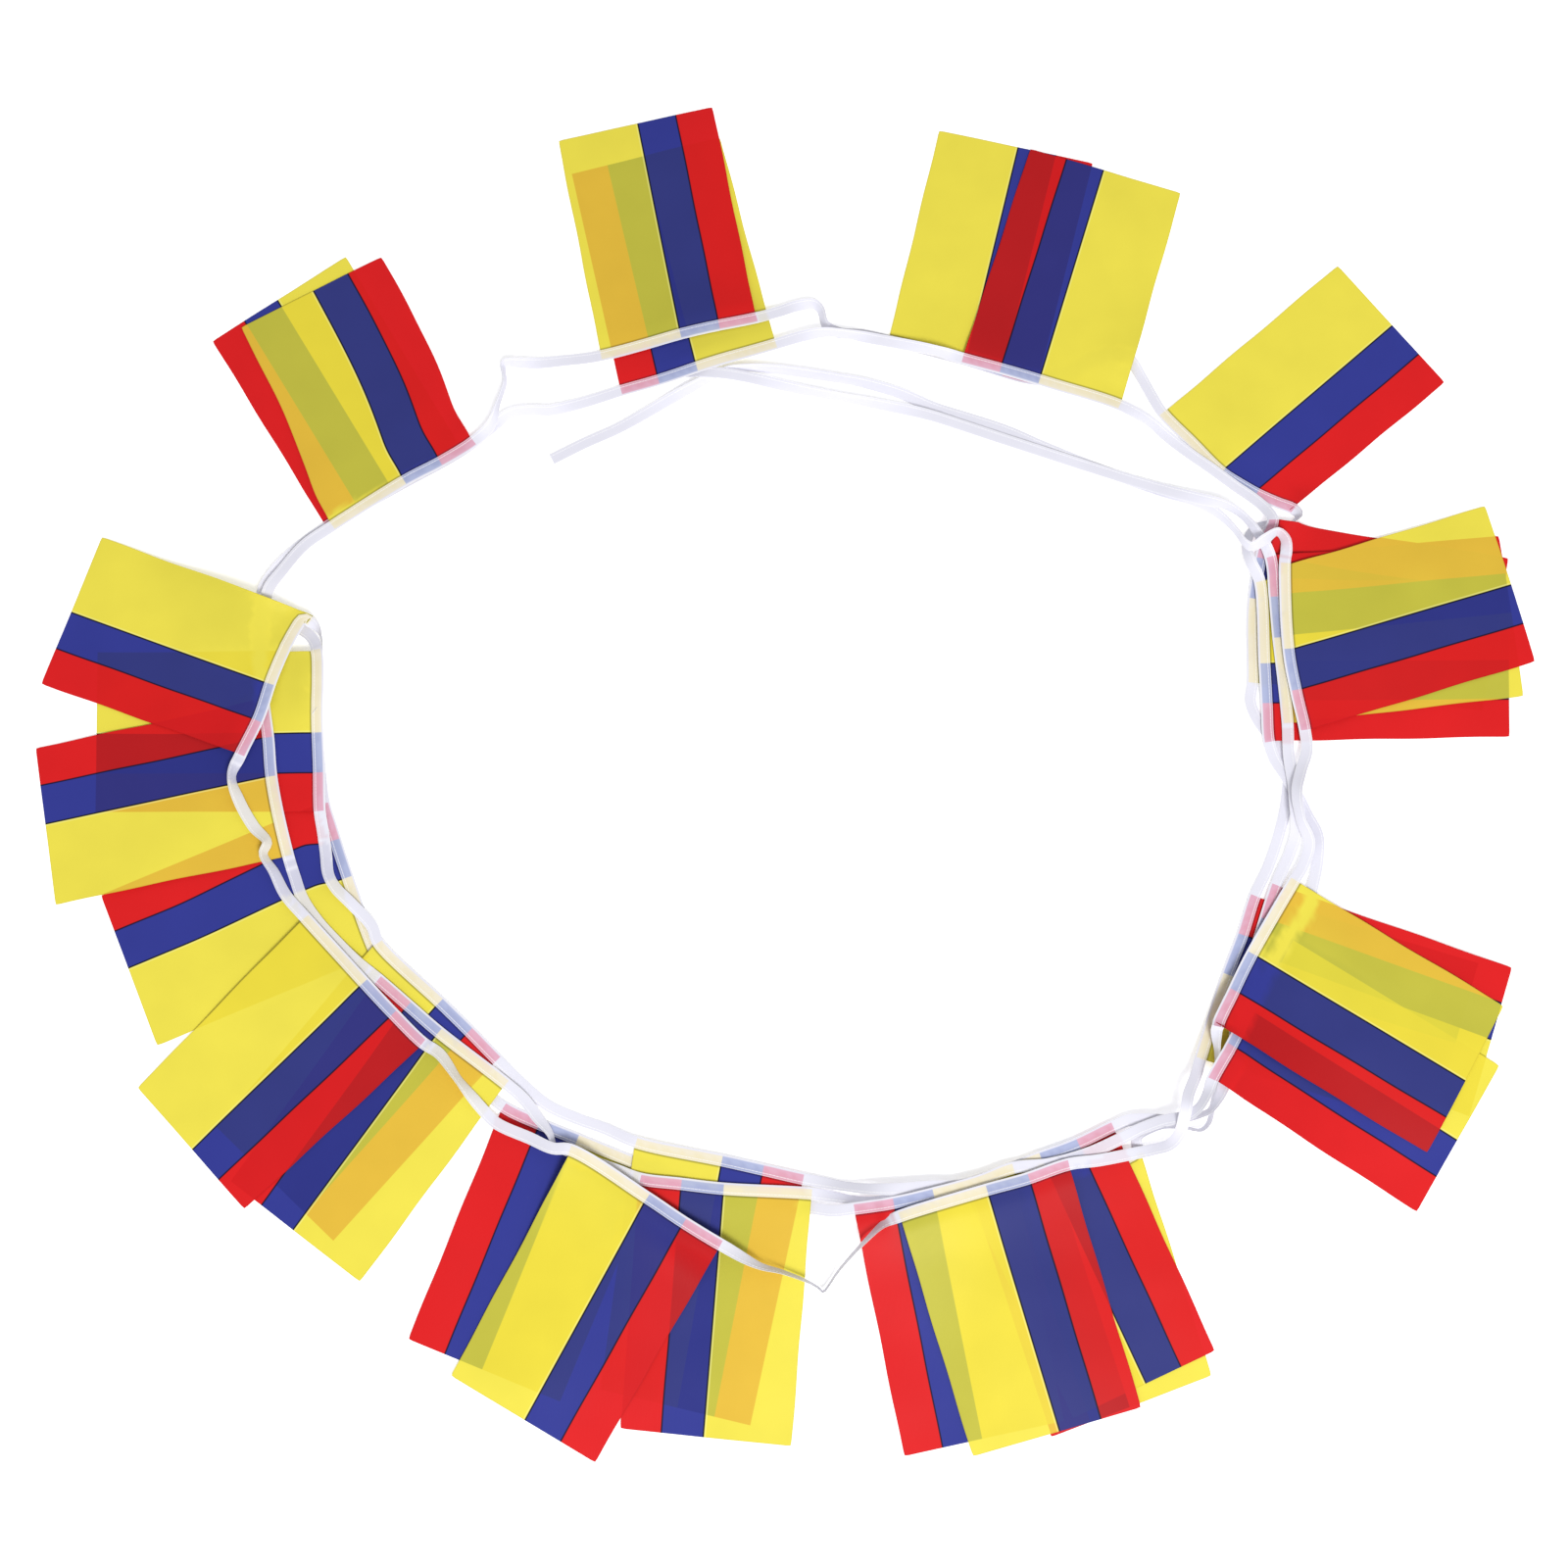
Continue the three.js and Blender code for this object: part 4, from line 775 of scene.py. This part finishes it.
# Lines of the print, its threads, the painted shade and sheen, and how blurred what lies beneath it
# looks. Each line has the place where it starts, how many half line widths it lies beyond that, its
# colour and strength
PRINT_BLUR = 0.0012
# Dark colour for the print's lines, and for the painted shadow where the cloth leaves the tape
DARK_PRINT_AND_SHADOW = (0.006, 0.006, 0.02, 1)
BRIGHT_LINE = (0.98, 0.95, 0.35, 1)
LINE_WIDTH = 0.0013
PRINT_LINES = ((BLUE_FROM, 0, DARK_PRINT_AND_SHADOW, 0.95), (YELLOW_FROM, 1.7, BRIGHT_LINE, 0.45),
               (YELLOW_FROM, -0.3, DARK_PRINT_AND_SHADOW, 1.0))
CUT_EDGE = 0.0009
# Darker along the cut edges: partly the hot-cut edge itself, partly painted shade at the sheet's rim
EDGE_SHADE, EDGE_STRENGTH = (0.5, 0.42, 0.5, 1), 0.25
# Painted shadow of the tape on the cloth: its strength, and where it starts and fades
TAPE_SHADE, TAPE_SHADE_FROM, TAPE_SHADE_TO = 0.45, 0.006, 0.001
THREAD_PITCH, THREAD_HEIGHT, THREAD_STRETCH = 0.0006, 0.0003, 0.12
PATCHES_A_METRE = 22
# Painted sheen: broad lighter and darker patches, over a base share that scales the colour down
PAINTED_SHEEN_PATCHES, SATIN_BASE = 0.10, 0.77
CLOTH_BUMP = 0.12
CLOTH_SURFACE = {"Roughness": 0.42, "Specular IOR Level": 0.09, "Sheen Weight": 0.02,
                 "Sheen Roughness": 0.4}
SEE_SOFTNESS, SEE_SPREAD = 0.0006, 0.0075
# Painted shade: the grey that shows through where a flag lies far above what is beneath it
SHADE_FAR_BELOW = (0.66, 0.66, 0.68, 1)
TAPE_BELOW = (0.92, 0.92, 0.97, 1)


def wire(tree, socket, value):
    """Joins a socket to another one, or gives it a plain value."""
    if isinstance(value, bpy.types.NodeSocket):
        tree.links.new(value, socket)
    else:
        socket.default_value = value


def maths(tree, operation, *values):
    """The result of one sum on plain values or sockets."""
    node = tree.nodes.new("ShaderNodeMath")
    node.operation = operation
    for socket, value in zip(node.inputs, values):
        wire(tree, socket, value)
    return node.outputs[0]


def blended(tree, share, first, second, how="MIX"):
    """The second colour mixed over the first."""
    node = tree.nodes.new("ShaderNodeMix")
    node.data_type = "RGBA"
    node.blend_type = how
    for name, value in (("Factor_Float", share), ("A_Color", first), ("B_Color", second)):
        wire(tree, next(s for s in node.inputs if s.identifier == name), value)
    return next(s for s in node.outputs if s.identifier == "Result_Color")


def softened(tree, value, start, end):
    """A smooth step of a value from 0 at start to 1 at end."""
    node = tree.nodes.new("ShaderNodeMapRange")
    node.interpolation_type = "SMOOTHSTEP"
    for socket, setting in zip(node.inputs, (value, start, end)):
        wire(tree, socket, setting)
    return node.outputs[0]


def with_line(tree, colour, value, centre, reach, line_colour, strength):
    """The colour with a thin soft line over it, where the value is close to the centre."""
    off = maths(tree, "ABSOLUTE", maths(tree, "SUBTRACT", value, centre))
    on_line = maths(tree, "MULTIPLY", softened(tree, off, *reach), strength)
    return blended(tree, on_line, colour, line_colour)


def map_parts(tree, name):
    """The two values that one of the mesh's UV maps gives."""
    on_map = tree.nodes.new("ShaderNodeUVMap")
    on_map.uv_map = name
    parts = tree.nodes.new("ShaderNodeSeparateXYZ")
    wire(tree, parts.inputs[0], on_map.outputs[0])
    return parts.outputs[0], parts.outputs[1]


def painted(tree, name, output="Fac"):
    """What one of the mesh's attributes gives."""
    node = tree.nodes.new("ShaderNodeAttribute")
    node.attribute_name = name
    return node.outputs[output]


def new_group(name, inputs, outputs):
    """A new shader group, with what it is given and what it has made as sockets inside it."""
    tree = bpy.data.node_groups.new(name, "ShaderNodeTree")
    for way, sockets in (("INPUT", inputs), ("OUTPUT", outputs)):
        for label, kind in sockets:
            tree.interface.new_socket(label, in_out=way, socket_type=f"NodeSocket{kind}")
    return tree, tree.nodes.new("NodeGroupInput").outputs, tree.nodes.new("NodeGroupOutput").inputs


def placed(tree, group, **values):
    """The outputs of a group once these values are joined to its inputs."""
    node = tree.nodes.new("ShaderNodeGroup")
    node.node_tree = group
    for label, value in values.items():
        wire(tree, node.inputs[label.replace("_", " ")], value)
    return node.outputs


# The three printed bands: what each turns back, lets through, and shows through the tape
bands, given, made = new_group("printed bands", [("Share", "Float"), ("Blur", "Float")],
                               [("Turned back", "Color"), ("Let through", "Color"),
                                ("Through tape", "Color")])
is_blue, is_yellow = (
    softened(bands, given["Share"], maths(bands, "SUBTRACT", edge, given["Blur"]),
             maths(bands, "ADD", edge, given["Blur"])) for edge in (BLUE_FROM, YELLOW_FROM))
for colours, output in ((TURNED_BACK, "Turned back"), (LET_THROUGH, "Let through"),
                        (THROUGH_TAPE, "Through tape")):
    red_or_blue = blended(bands, is_blue, colours["red"], colours["blue"])
    wire(bands, made[output], blended(bands, is_yellow, red_or_blue, colours["yellow"]))

# A flag that shows through from beneath, inside its four sides, over whatever lies below it
beneath, given, made = new_group(
    "flag beneath", [("Position", "Vector"), ("Red side", "Vector"), ("Yellow side", "Vector"),
                     ("Heading side", "Vector"), ("Hem side", "Vector"), ("Softness", "Float"),
                     ("Below", "Color")], [("Below", "Color")])
apart = beneath.nodes.new("ShaderNodeSeparateXYZ")
wire(beneath, apart.inputs[0], given["Position"])
flat = beneath.nodes.new("ShaderNodeCombineXYZ")
for k, value in enumerate((apart.outputs[0], apart.outputs[1], 1)):
    wire(beneath, flat.inputs[k], value)
inward = []
for label in ("Red side", "Yellow side", "Heading side", "Hem side"):
    dot = beneath.nodes.new("ShaderNodeVectorMath")
    dot.operation = "DOT_PRODUCT"
    wire(beneath, dot.inputs[0], flat.outputs[0])
    wire(beneath, dot.inputs[1], given[label])
    inward.append(dot.outputs["Value"])
share = maths(beneath, "DIVIDE", inward[0], maths(beneath, "ADD", inward[0], inward[1]))
inside = maths(beneath, "MINIMUM", maths(beneath, "MINIMUM", inward[0], inward[1]),
               maths(beneath, "MINIMUM", inward[2], inward[3]))
shown = softened(beneath, inside, maths(beneath, "MULTIPLY", given["Softness"], -0.5),
                 maths(beneath, "MULTIPLY", given["Softness"], 0.5))
colours = placed(beneath, bands, Share=share, Blur=maths(
    beneath, "MULTIPLY", given["Softness"], 0.5 / FLAG_WIDTH))
through = blended(beneath, 1.0, colours["Let through"], given["Below"], "MULTIPLY")
whole = blended(beneath, 1.0, colours["Turned back"], through, "ADD")
wire(beneath, made["Below"], blended(beneath, shown, given["Below"], whole))

# Satin: fine threads for the bumps, and broad soft lighter and darker patches of painted sheen for the
# shade
weave, given, made = new_group("satin weave", [("Position", "Vector")],
                               [("Height", "Float"), ("Shade", "Float")])
threads = weave.nodes.new("ShaderNodeTexNoise")
threads.inputs["Scale"].default_value = 1 / (2 * THREAD_PITCH)
threads.inputs["Detail"].default_value = 1
stretch = weave.nodes.new("ShaderNodeMapping")
stretch.inputs["Scale"].default_value = (1, THREAD_STRETCH, 1)
wire(weave, stretch.inputs["Vector"], given["Position"])
wire(weave, threads.inputs["Vector"], stretch.outputs[0])
sheen_patches = weave.nodes.new("ShaderNodeTexNoise")
sheen_patches.inputs["Scale"].default_value = PATCHES_A_METRE
sheen_patches.inputs["Detail"].default_value = 2
wire(weave, sheen_patches.inputs["Vector"], given["Position"])
wire(weave, made["Height"], threads.outputs["Fac"])
wire(weave, made["Shade"], maths(
    weave, "MULTIPLY_ADD", sheen_patches.outputs["Fac"], PAINTED_SHEEN_PATCHES, SATIN_BASE))


def woven(tree, shader, colour, bump_strength):
    """Adds the threads' fine bumps to a shader, and gives the colour with the satin's painted sheen."""
    satin = placed(tree, weave, Position=tree.nodes.new("ShaderNodeTexCoord").outputs["Object"])
    bump = tree.nodes.new("ShaderNodeBump")
    bump.inputs["Strength"].default_value = bump_strength
    bump.inputs["Distance"].default_value = THREAD_HEIGHT
    wire(tree, bump.inputs["Height"], satin["Height"])
    wire(tree, shader.inputs["Normal"], bump.outputs[0])
    shade = tree.nodes.new("ShaderNodeCombineColor")
    for socket in shade.inputs:
        wire(tree, socket, satin["Shade"])
    return blended(tree, 1.0, colour, shade.outputs[0], "MULTIPLY")


def line_through(first, second, inner):
    """The straight line through two points as (x, y, rest), growing towards the inner point."""
    way = second - first
    normal = np.array([-way[1], way[0]]) / np.linalg.norm(way)
    if np.dot(inner - first, normal) < 0:
        normal = -normal
    return (*normal, -np.dot(normal, first))


def corners_of(flag):
    """Corners of the free cloth: red and yellow at the tape, then yellow and red at the hem."""
    grid = flag["grid"][2:, :, :2]
    return grid[0, 0], grid[0, -1], grid[-1, -1], grid[-1, 0]


def sides_of(flag):
    """A flag's four sides, named as the group for flags beneath takes them."""
    red_root, yellow_root, yellow_hem, red_hem = corners_of(flag)
    inner = (red_root + yellow_root + yellow_hem + red_hem) / 4
    return {"Red_side": line_through(red_root, red_hem, inner),
            "Yellow_side": line_through(yellow_root, yellow_hem, inner),
            "Heading_side": line_through(red_root, yellow_root, inner),
            "Hem_side": line_through(red_hem, yellow_hem, inner)}


def lies_under(lower, upper):
    """True if some of the upper flag's cloth lies over the lower one."""
    if (lower["layer"], lower["first_station"]) >= (upper["layer"], upper["first_station"]):
        return False
    points = upper["grid"][2::3, ::3, :2].reshape(-1, 2)
    flat_points = np.column_stack([points, np.ones(len(points))])
    inward = [flat_points @ np.array(side) for side in sides_of(lower).values()]
    return bool((np.min(inward, axis=0) > 0).any())


def flag_finish(flag, lower_flags):
    """Printed satin: its own bands, the bands of the flags that show through from beneath, and painted
    shade and sheen.
    """
    finish, tree, shader = new_finish(f"cloth_{flag['name']}", CLOTH_SURFACE)
    place = tree.nodes.new("ShaderNodeTexCoord").outputs["Object"]
    share, down = map_parts(tree, "print")
    near = painted(tree, "near")
    softness = maths(tree, "MULTIPLY_ADD", maths(tree, "SUBTRACT", 1.0, near),
                     SEE_SPREAD, SEE_SOFTNESS)
    below = WHITE
    for lower in lower_flags:
        below = placed(tree, beneath, Position=place, Softness=softness, Below=below,
                       **sides_of(lower))["Below"]
    below = blended(tree, painted(tree, "on_tape"), below, TAPE_BELOW)
    # Painted shade: far above what lies beneath it, the cloth shows a grey shade through it
    below = blended(tree, near, SHADE_FAR_BELOW, below)
    own = placed(tree, bands, Share=share, Blur=PRINT_BLUR)
    through = blended(tree, 1.0, own["Let through"], below, "MULTIPLY")
    colour = blended(tree, 1.0, own["Turned back"], through, "ADD")
    half_line = LINE_WIDTH / 2 / FLAG_WIDTH
    for start, beyond, line_colour, strength in PRINT_LINES:
        colour = with_line(tree, colour, share, start + half_line * beyond,
                           (half_line * 1.5, half_line * 0.5), line_colour, strength)
    colour = woven(tree, shader, colour, CLOTH_BUMP)
    # Darker along the cut edges: partly the hot-cut edge itself, partly painted shade at the sheet's
    # rim
    from_side = maths(tree, "MULTIPLY", FLAG_WIDTH, maths(
        tree, "MINIMUM", share, maths(tree, "SUBTRACT", 1.0, share)))
    from_hem = maths(tree, "MULTIPLY", FLAG_LENGTH, maths(tree, "SUBTRACT", 1.0, down))
    at_edge = softened(tree, maths(tree, "MINIMUM", from_side, from_hem), CUT_EDGE, CUT_EDGE / 3)
    colour = blended(tree, maths(tree, "MULTIPLY", at_edge, EDGE_STRENGTH), colour,
                     blended(tree, 1.0, colour, EDGE_SHADE, "MULTIPLY"))
    # Painted shadow: the cloth darkens in a thin strip where it comes out of the tape
    tape_shadow_share = softened(tree, down, TAPE_SHADE_FROM, TAPE_SHADE_TO)
    colour = blended(tree, maths(tree, "MULTIPLY", tape_shadow_share, TAPE_SHADE), colour, DARK_PRINT_AND_SHADOW)
    wire(tree, shader.inputs["Base Color"], colour)
    return finish


flag_pieces = {}
for flag in STRING:
    down = np.concatenate([[-FOLD_DEPTH / FLAG_LENGTH, -FOLD_DEPTH / 2 / FLAG_LENGTH],
                           np.linspace(0, 1, ROWS + 1)])[:, None]
    across = np.linspace(0, 1, COLUMNS + 1)[None, :]
    mesh = sheet_mesh(f"cloth_{flag['name']}", flag["grid"], across, down,
                      {"near": flag["near"], "on_tape": flag["on_tape"]})
    lower_flags = sorted((other for other in STRING if lies_under(other, flag)),
                         key=lambda other: (other["layer"], other["first_station"]))
    flag["lower"] = [f"cloth_{other['name']}" for other in lower_flags]
    mesh.materials.append(flag_finish(flag, lower_flags))
    flag_pieces[flag["name"]] = put(f"cloth_{flag['name']}", mesh)
for flag in STRING:
    piece = flag_pieces[flag["name"]]
    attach(piece, "root")
    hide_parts(f"flag_{flag['name']}")

# Tape. One white ribbon, 20 mm wide and 9.99 m long, folded in two along its length round the
# heading of each flag and run on doubled between them. Its woven edges are a little whiter, and
# each heading shows through it as a pale pink, lilac or cream.
LAYER = 0.00014
HEADING_GAP = 0.00040
PLAIN_GAP = 0.00008
EDGE_GAP = 0.00036
FOLD_SIDE, FOLD_INSIDE, FOLD_ROUNDING = 0.97, 0.93, 0.4
TAPE_WHITE = (0.85, 0.845, 0.945, 1)
EDGE_WHITE = (0.96, 0.955, 0.985, 1)
TINT_FROM_BELOW = 0.3
THROUGH_HEADING = 0.5
HEADING_BLUR = 0.0012
EDGE_LINE = 0.0006
SEWN_LINE = 0.0021
RIBBON_LINES = ((0, 0.8), (SEWN_LINE, 0.5), (TAPE_WIDTH, 0.8))
NO_CLOTH = -1.0
TAPE_BUMP = 0.15
TAPE_SURFACE = {"Roughness": 0.55, "Specular IOR Level": 0.15, "Sheen Weight": 0.05}
ACROSS = np.array([1.0, 0.66, 0.3, -0.1, -0.5, -0.84])
OPENING_SOFTNESS = 1.5
RIBBON_ANGLE = math.radians(35)

opening = np.minimum(1, 2 * smoothed((station_flag >= 0).astype(float), OPENING_SOFTNESS))


def tape_ring(k):
    """The section of the folded ribbon at one station, round its outside and back inside."""
    gap = PLAIN_GAP + opening[k] * (HEADING_GAP - PLAIN_GAP)
    ends = EDGE_GAP * opening[k] + PLAIN_GAP * (1 - opening[k])
    half_gap = np.interp(ACROSS, (-1, -0.5, 0.5, 1), (gap / 3, gap / 2, gap / 2, ends / 2))
    a = ACROSS * TAPE_WIDTH / 2
    fold = -TAPE_WIDTH / 2
    outer, inner = half_gap + LAYER, half_gap
    upper = [*zip(a, outer)]
    lower = [*zip(a[::-1], -outer[::-1])]
    turn_up = gap / 3 + LAYER * FOLD_ROUNDING
    bend = [(fold * FOLD_SIDE, turn_up), (fold, 0), (fold * FOLD_SIDE, -turn_up)]
    lining = [*zip(a, -inner), (fold * FOLD_INSIDE, 0), *zip(a[::-1], inner[::-1])]
    return np.array(upper + bend + lower + lining)


rings = np.array([tape_ring(k) for k in range(len(middle))])
cos, sin = np.cos(lean)[:, None], np.sin(lean)[:, None]
out = rings[..., 0] * cos - rings[..., 1] * sin
rise = rings[..., 0] * sin + rings[..., 1] * cos
points = np.concatenate([middle[:, None, :] + left[:, None, :] * out[..., None],
                         (height[:, None] + rise)[..., None]], axis=2)
stations, around = points.shape[:2]
number = np.arange(stations * around).reshape(stations, around)
following = np.roll(number, -1, axis=1)
faces = np.stack([number[:-1], following[:-1], following[1:], number[1:]], -1).reshape(-1, 4)
volume = np.einsum("ij,ij->", points.reshape(-1, 3)[faces[:, 0]],
                   np.cross(points.reshape(-1, 3)[faces[:, 1]], points.reshape(-1, 3)[faces[:, 2]]))
caps = [list(number[0, ::-1]), list(number[-1])]
tape_mesh = bpy.data.meshes.new("tape_ribbon")
all_faces = faces.tolist() + caps
if volume < 0:
    all_faces = [face[::-1] for face in all_faces]
tape_mesh.from_pydata(points.reshape(-1, 3).tolist(), [], all_faces)

# Two maps follow the ribbon: its length and width in metres, and the flag's share on a heading
flag_share = np.full(stations, NO_CLOTH)
for flag in STRING:
    start = flag["first_station"]
    flag_share[start:start + COLUMNS + 1] = np.linspace(0, 1, COLUMNS + 1)
width_at = np.abs(rings[:, :, 0] - TAPE_WIDTH / 2)
corner_point = np.zeros(len(tape_mesh.loops), int)
tape_mesh.loops.foreach_get("vertex_index", corner_point)
face_of = np.repeat(np.arange(len(all_faces)), [len(face) for face in all_faces])
station_of = corner_point // around
least = np.full(len(all_faces), stations)
most = np.zeros(len(all_faces), int)
np.minimum.at(least, face_of, station_of)
np.maximum.at(most, face_of, station_of)
headed = (station_flag[least] >= 0) & (station_flag[least] == station_flag[most])
share_map = np.where(headed[face_of], flag_share[station_of], NO_CLOTH)
width_map = width_at.ravel()[corner_point]
tape_mesh.uv_layers.new(name="ribbon").data.foreach_set(
    "uv", np.stack([station_length[station_of], width_map], 1).ravel())
tape_mesh.uv_layers.new(name="heading").data.foreach_set(
    "uv", np.stack([share_map, np.zeros(len(share_map))], 1).ravel())
tape_mesh.polygons.foreach_set("use_smooth", [True] * len(tape_mesh.polygons))
tape_mesh.set_sharp_from_angle(angle=RIBBON_ANGLE)

# The ribbon is tinted by what lies beneath it, seen at a few places across its width
last_line = TAPE_LINES - 1
across_ring = np.clip((rings[..., 0] / TAPE_WIDTH + 0.5) * last_line, 0, last_line)
folded_back = station_side[:, None] < 0
across_ring = np.where(folded_back, last_line - across_ring, across_ring)
low = np.minimum(across_ring.astype(int), last_line - 1)
part = (across_ring - low)[..., None]
line = np.arange(stations)[:, None]
below_points = under_tape[line, low] * (1 - part) + under_tape[line, low + 1] * part
below_points[station_flag >= 0] = 1 - (1 - below_points[station_flag >= 0]) * THROUGH_HEADING
colour_below = tape_mesh.attributes.new("below", "FLOAT_COLOR", "POINT")
colour_below.data.foreach_set("color", np.concatenate(
    [below_points, np.ones((stations, around, 1))], axis=2).ravel())

tape_finish, tree, shader = new_finish("tape", TAPE_SURFACE)
from_edge = map_parts(tree, "ribbon")[1]
cloth_share = map_parts(tree, "heading")[0]
cloth = placed(tree, bands, Share=cloth_share, Blur=PRINT_BLUR)
holds_cloth = maths(tree, "GREATER_THAN", cloth_share, NO_CLOTH / 2)
under_cloth = softened(tree, from_edge, FOLD_DEPTH, FOLD_DEPTH - HEADING_BLUR)
covered = maths(tree, "MULTIPLY", under_cloth, holds_cloth)
colour = blended(tree, covered, TAPE_WHITE, cloth["Through tape"])
for centre, strength in RIBBON_LINES:
    colour = with_line(tree, colour, from_edge, centre, (EDGE_LINE, EDGE_LINE * 0.4),
                       EDGE_WHITE, strength)
colour = blended(tree, TINT_FROM_BELOW, colour, painted(tree, "below", "Color"), "MULTIPLY")
wire(tree, shader.inputs["Base Color"], woven(tree, shader, colour, TAPE_BUMP))
tape_mesh.materials.append(tape_finish)
tape = put("tape_ribbon", tape_mesh)

# Stitching. A straight row of short white stitches goes through the tape and the flags inside it,
# about 2 mm from the tape's open edges, and shows on both faces of the tape.
STITCH_PITCH = 0.0030
STITCH_LENGTH = 0.0023
THREAD_RADIUS = 0.00013
THREAD_SIDES = 5
THREAD_PROUD = 0.4
THREAD_WHITE = (0.86, 0.86, 0.9, 1)
TWISTS_A_METRE = 900

guide_points, guide_edges = [], []
for face_side in (1, -1):
    gap = np.where(station_flag >= 0, HEADING_GAP, PLAIN_GAP)
    up = face_side * (gap / 2 + LAYER + THREAD_RADIUS * THREAD_PROUD)
    a = TAPE_WIDTH / 2 - SEWN_LINE
    line_out = a * np.cos(lean) - up * np.sin(lean)
    line_rise = a * np.sin(lean) + up * np.cos(lean)
    line_points = np.column_stack([middle + left * line_out[:, None], height + line_rise])
    start = len(guide_points)
    guide_points += line_points.tolist()
    guide_edges += [(start + k, start + k + 1) for k in range(len(line_points) - 1)]
guide_mesh = bpy.data.meshes.new("sewing_line")
guide_mesh.from_pydata(guide_points, guide_edges, [])
guide = put("sewing_line", guide_mesh)

thread_finish, tree, shader = new_finish("thread", {"Roughness": 0.5, "Sheen Weight": 0.2})
twist = tree.nodes.new("ShaderNodeTexNoise")
twist.inputs["Scale"].default_value = TWISTS_A_METRE
wire(tree, twist.inputs["Vector"], tree.nodes.new("ShaderNodeTexCoord").outputs["Object"])
wire(tree, shader.inputs["Base Color"], blended(tree, twist.outputs["Fac"], THREAD_WHITE, WHITE))

# The stitches are short cylinders, one at each step along the sewing line
sewing = bpy.data.node_groups.new("row of stitches", "GeometryNodeTree")
sockets = {}
for label, way, kind in (("Line", "INPUT", "Geometry"), ("Pitch", "INPUT", "Float"),
                         ("Stitch length", "INPUT", "Float"), ("Thread radius", "INPUT", "Float"),
                         ("Thread sides", "INPUT", "Int"), ("Thread", "INPUT", "Material"),
                         ("Stitches", "OUTPUT", "Geometry")):
    sockets[label] = sewing.interface.new_socket(
        label, in_out=way, socket_type=f"NodeSocket{kind}").identifier
entry = sewing.nodes.new("NodeGroupInput").outputs
path = sewing.nodes.new("GeometryNodeMeshToCurve")
wire(sewing, path.inputs["Mesh"], entry["Line"])
steps = sewing.nodes.new("GeometryNodeResampleCurve")
steps.mode = "LENGTH"
wire(sewing, steps.inputs["Curve"], path.outputs["Curve"])
wire(sewing, steps.inputs["Length"], entry["Pitch"])
stitch = sewing.nodes.new("GeometryNodeMeshCylinder")
wire(sewing, stitch.inputs["Vertices"], entry["Thread sides"])
wire(sewing, stitch.inputs["Radius"], entry["Thread radius"])
wire(sewing, stitch.inputs["Depth"], entry["Stitch length"])
facing = sewing.nodes.new("FunctionNodeAlignRotationToVector")
facing.axis = "Z"
wire(sewing, facing.inputs["Vector"], sewing.nodes.new("GeometryNodeInputTangent").outputs[0])
many = sewing.nodes.new("GeometryNodeInstanceOnPoints")
wire(sewing, many.inputs["Points"], steps.outputs["Curve"])
wire(sewing, many.inputs["Instance"], stitch.outputs["Mesh"])
wire(sewing, many.inputs["Rotation"], facing.outputs[0])
real = sewing.nodes.new("GeometryNodeRealizeInstances")
wire(sewing, real.inputs[0], many.outputs[0])
coloured = sewing.nodes.new("GeometryNodeSetMaterial")
wire(sewing, coloured.inputs["Geometry"], real.outputs[0])
wire(sewing, coloured.inputs["Material"], entry["Thread"])
wire(sewing, sewing.nodes.new("NodeGroupOutput").inputs["Stitches"], coloured.outputs[0])

modifier = guide.modifiers.new("sewing", "NODES")
modifier.node_group = sewing
for label, value in (("Pitch", STITCH_PITCH), ("Stitch length", STITCH_LENGTH),
                     ("Thread radius", THREAD_RADIUS), ("Thread sides", THREAD_SIDES),
                     ("Thread", thread_finish)):
    modifier[sockets[label]] = value
evaluated = guide.evaluated_get(bpy.context.evaluated_depsgraph_get())
stitch_mesh = bpy.data.meshes.new_from_object(evaluated)
stitches = put("tape_stitching", stitch_mesh)
bpy.data.objects.remove(guide)

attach(tape, "root")
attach(stitches, "root")
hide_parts(*[f"tape_{flag['name']}" for flag in STRING])
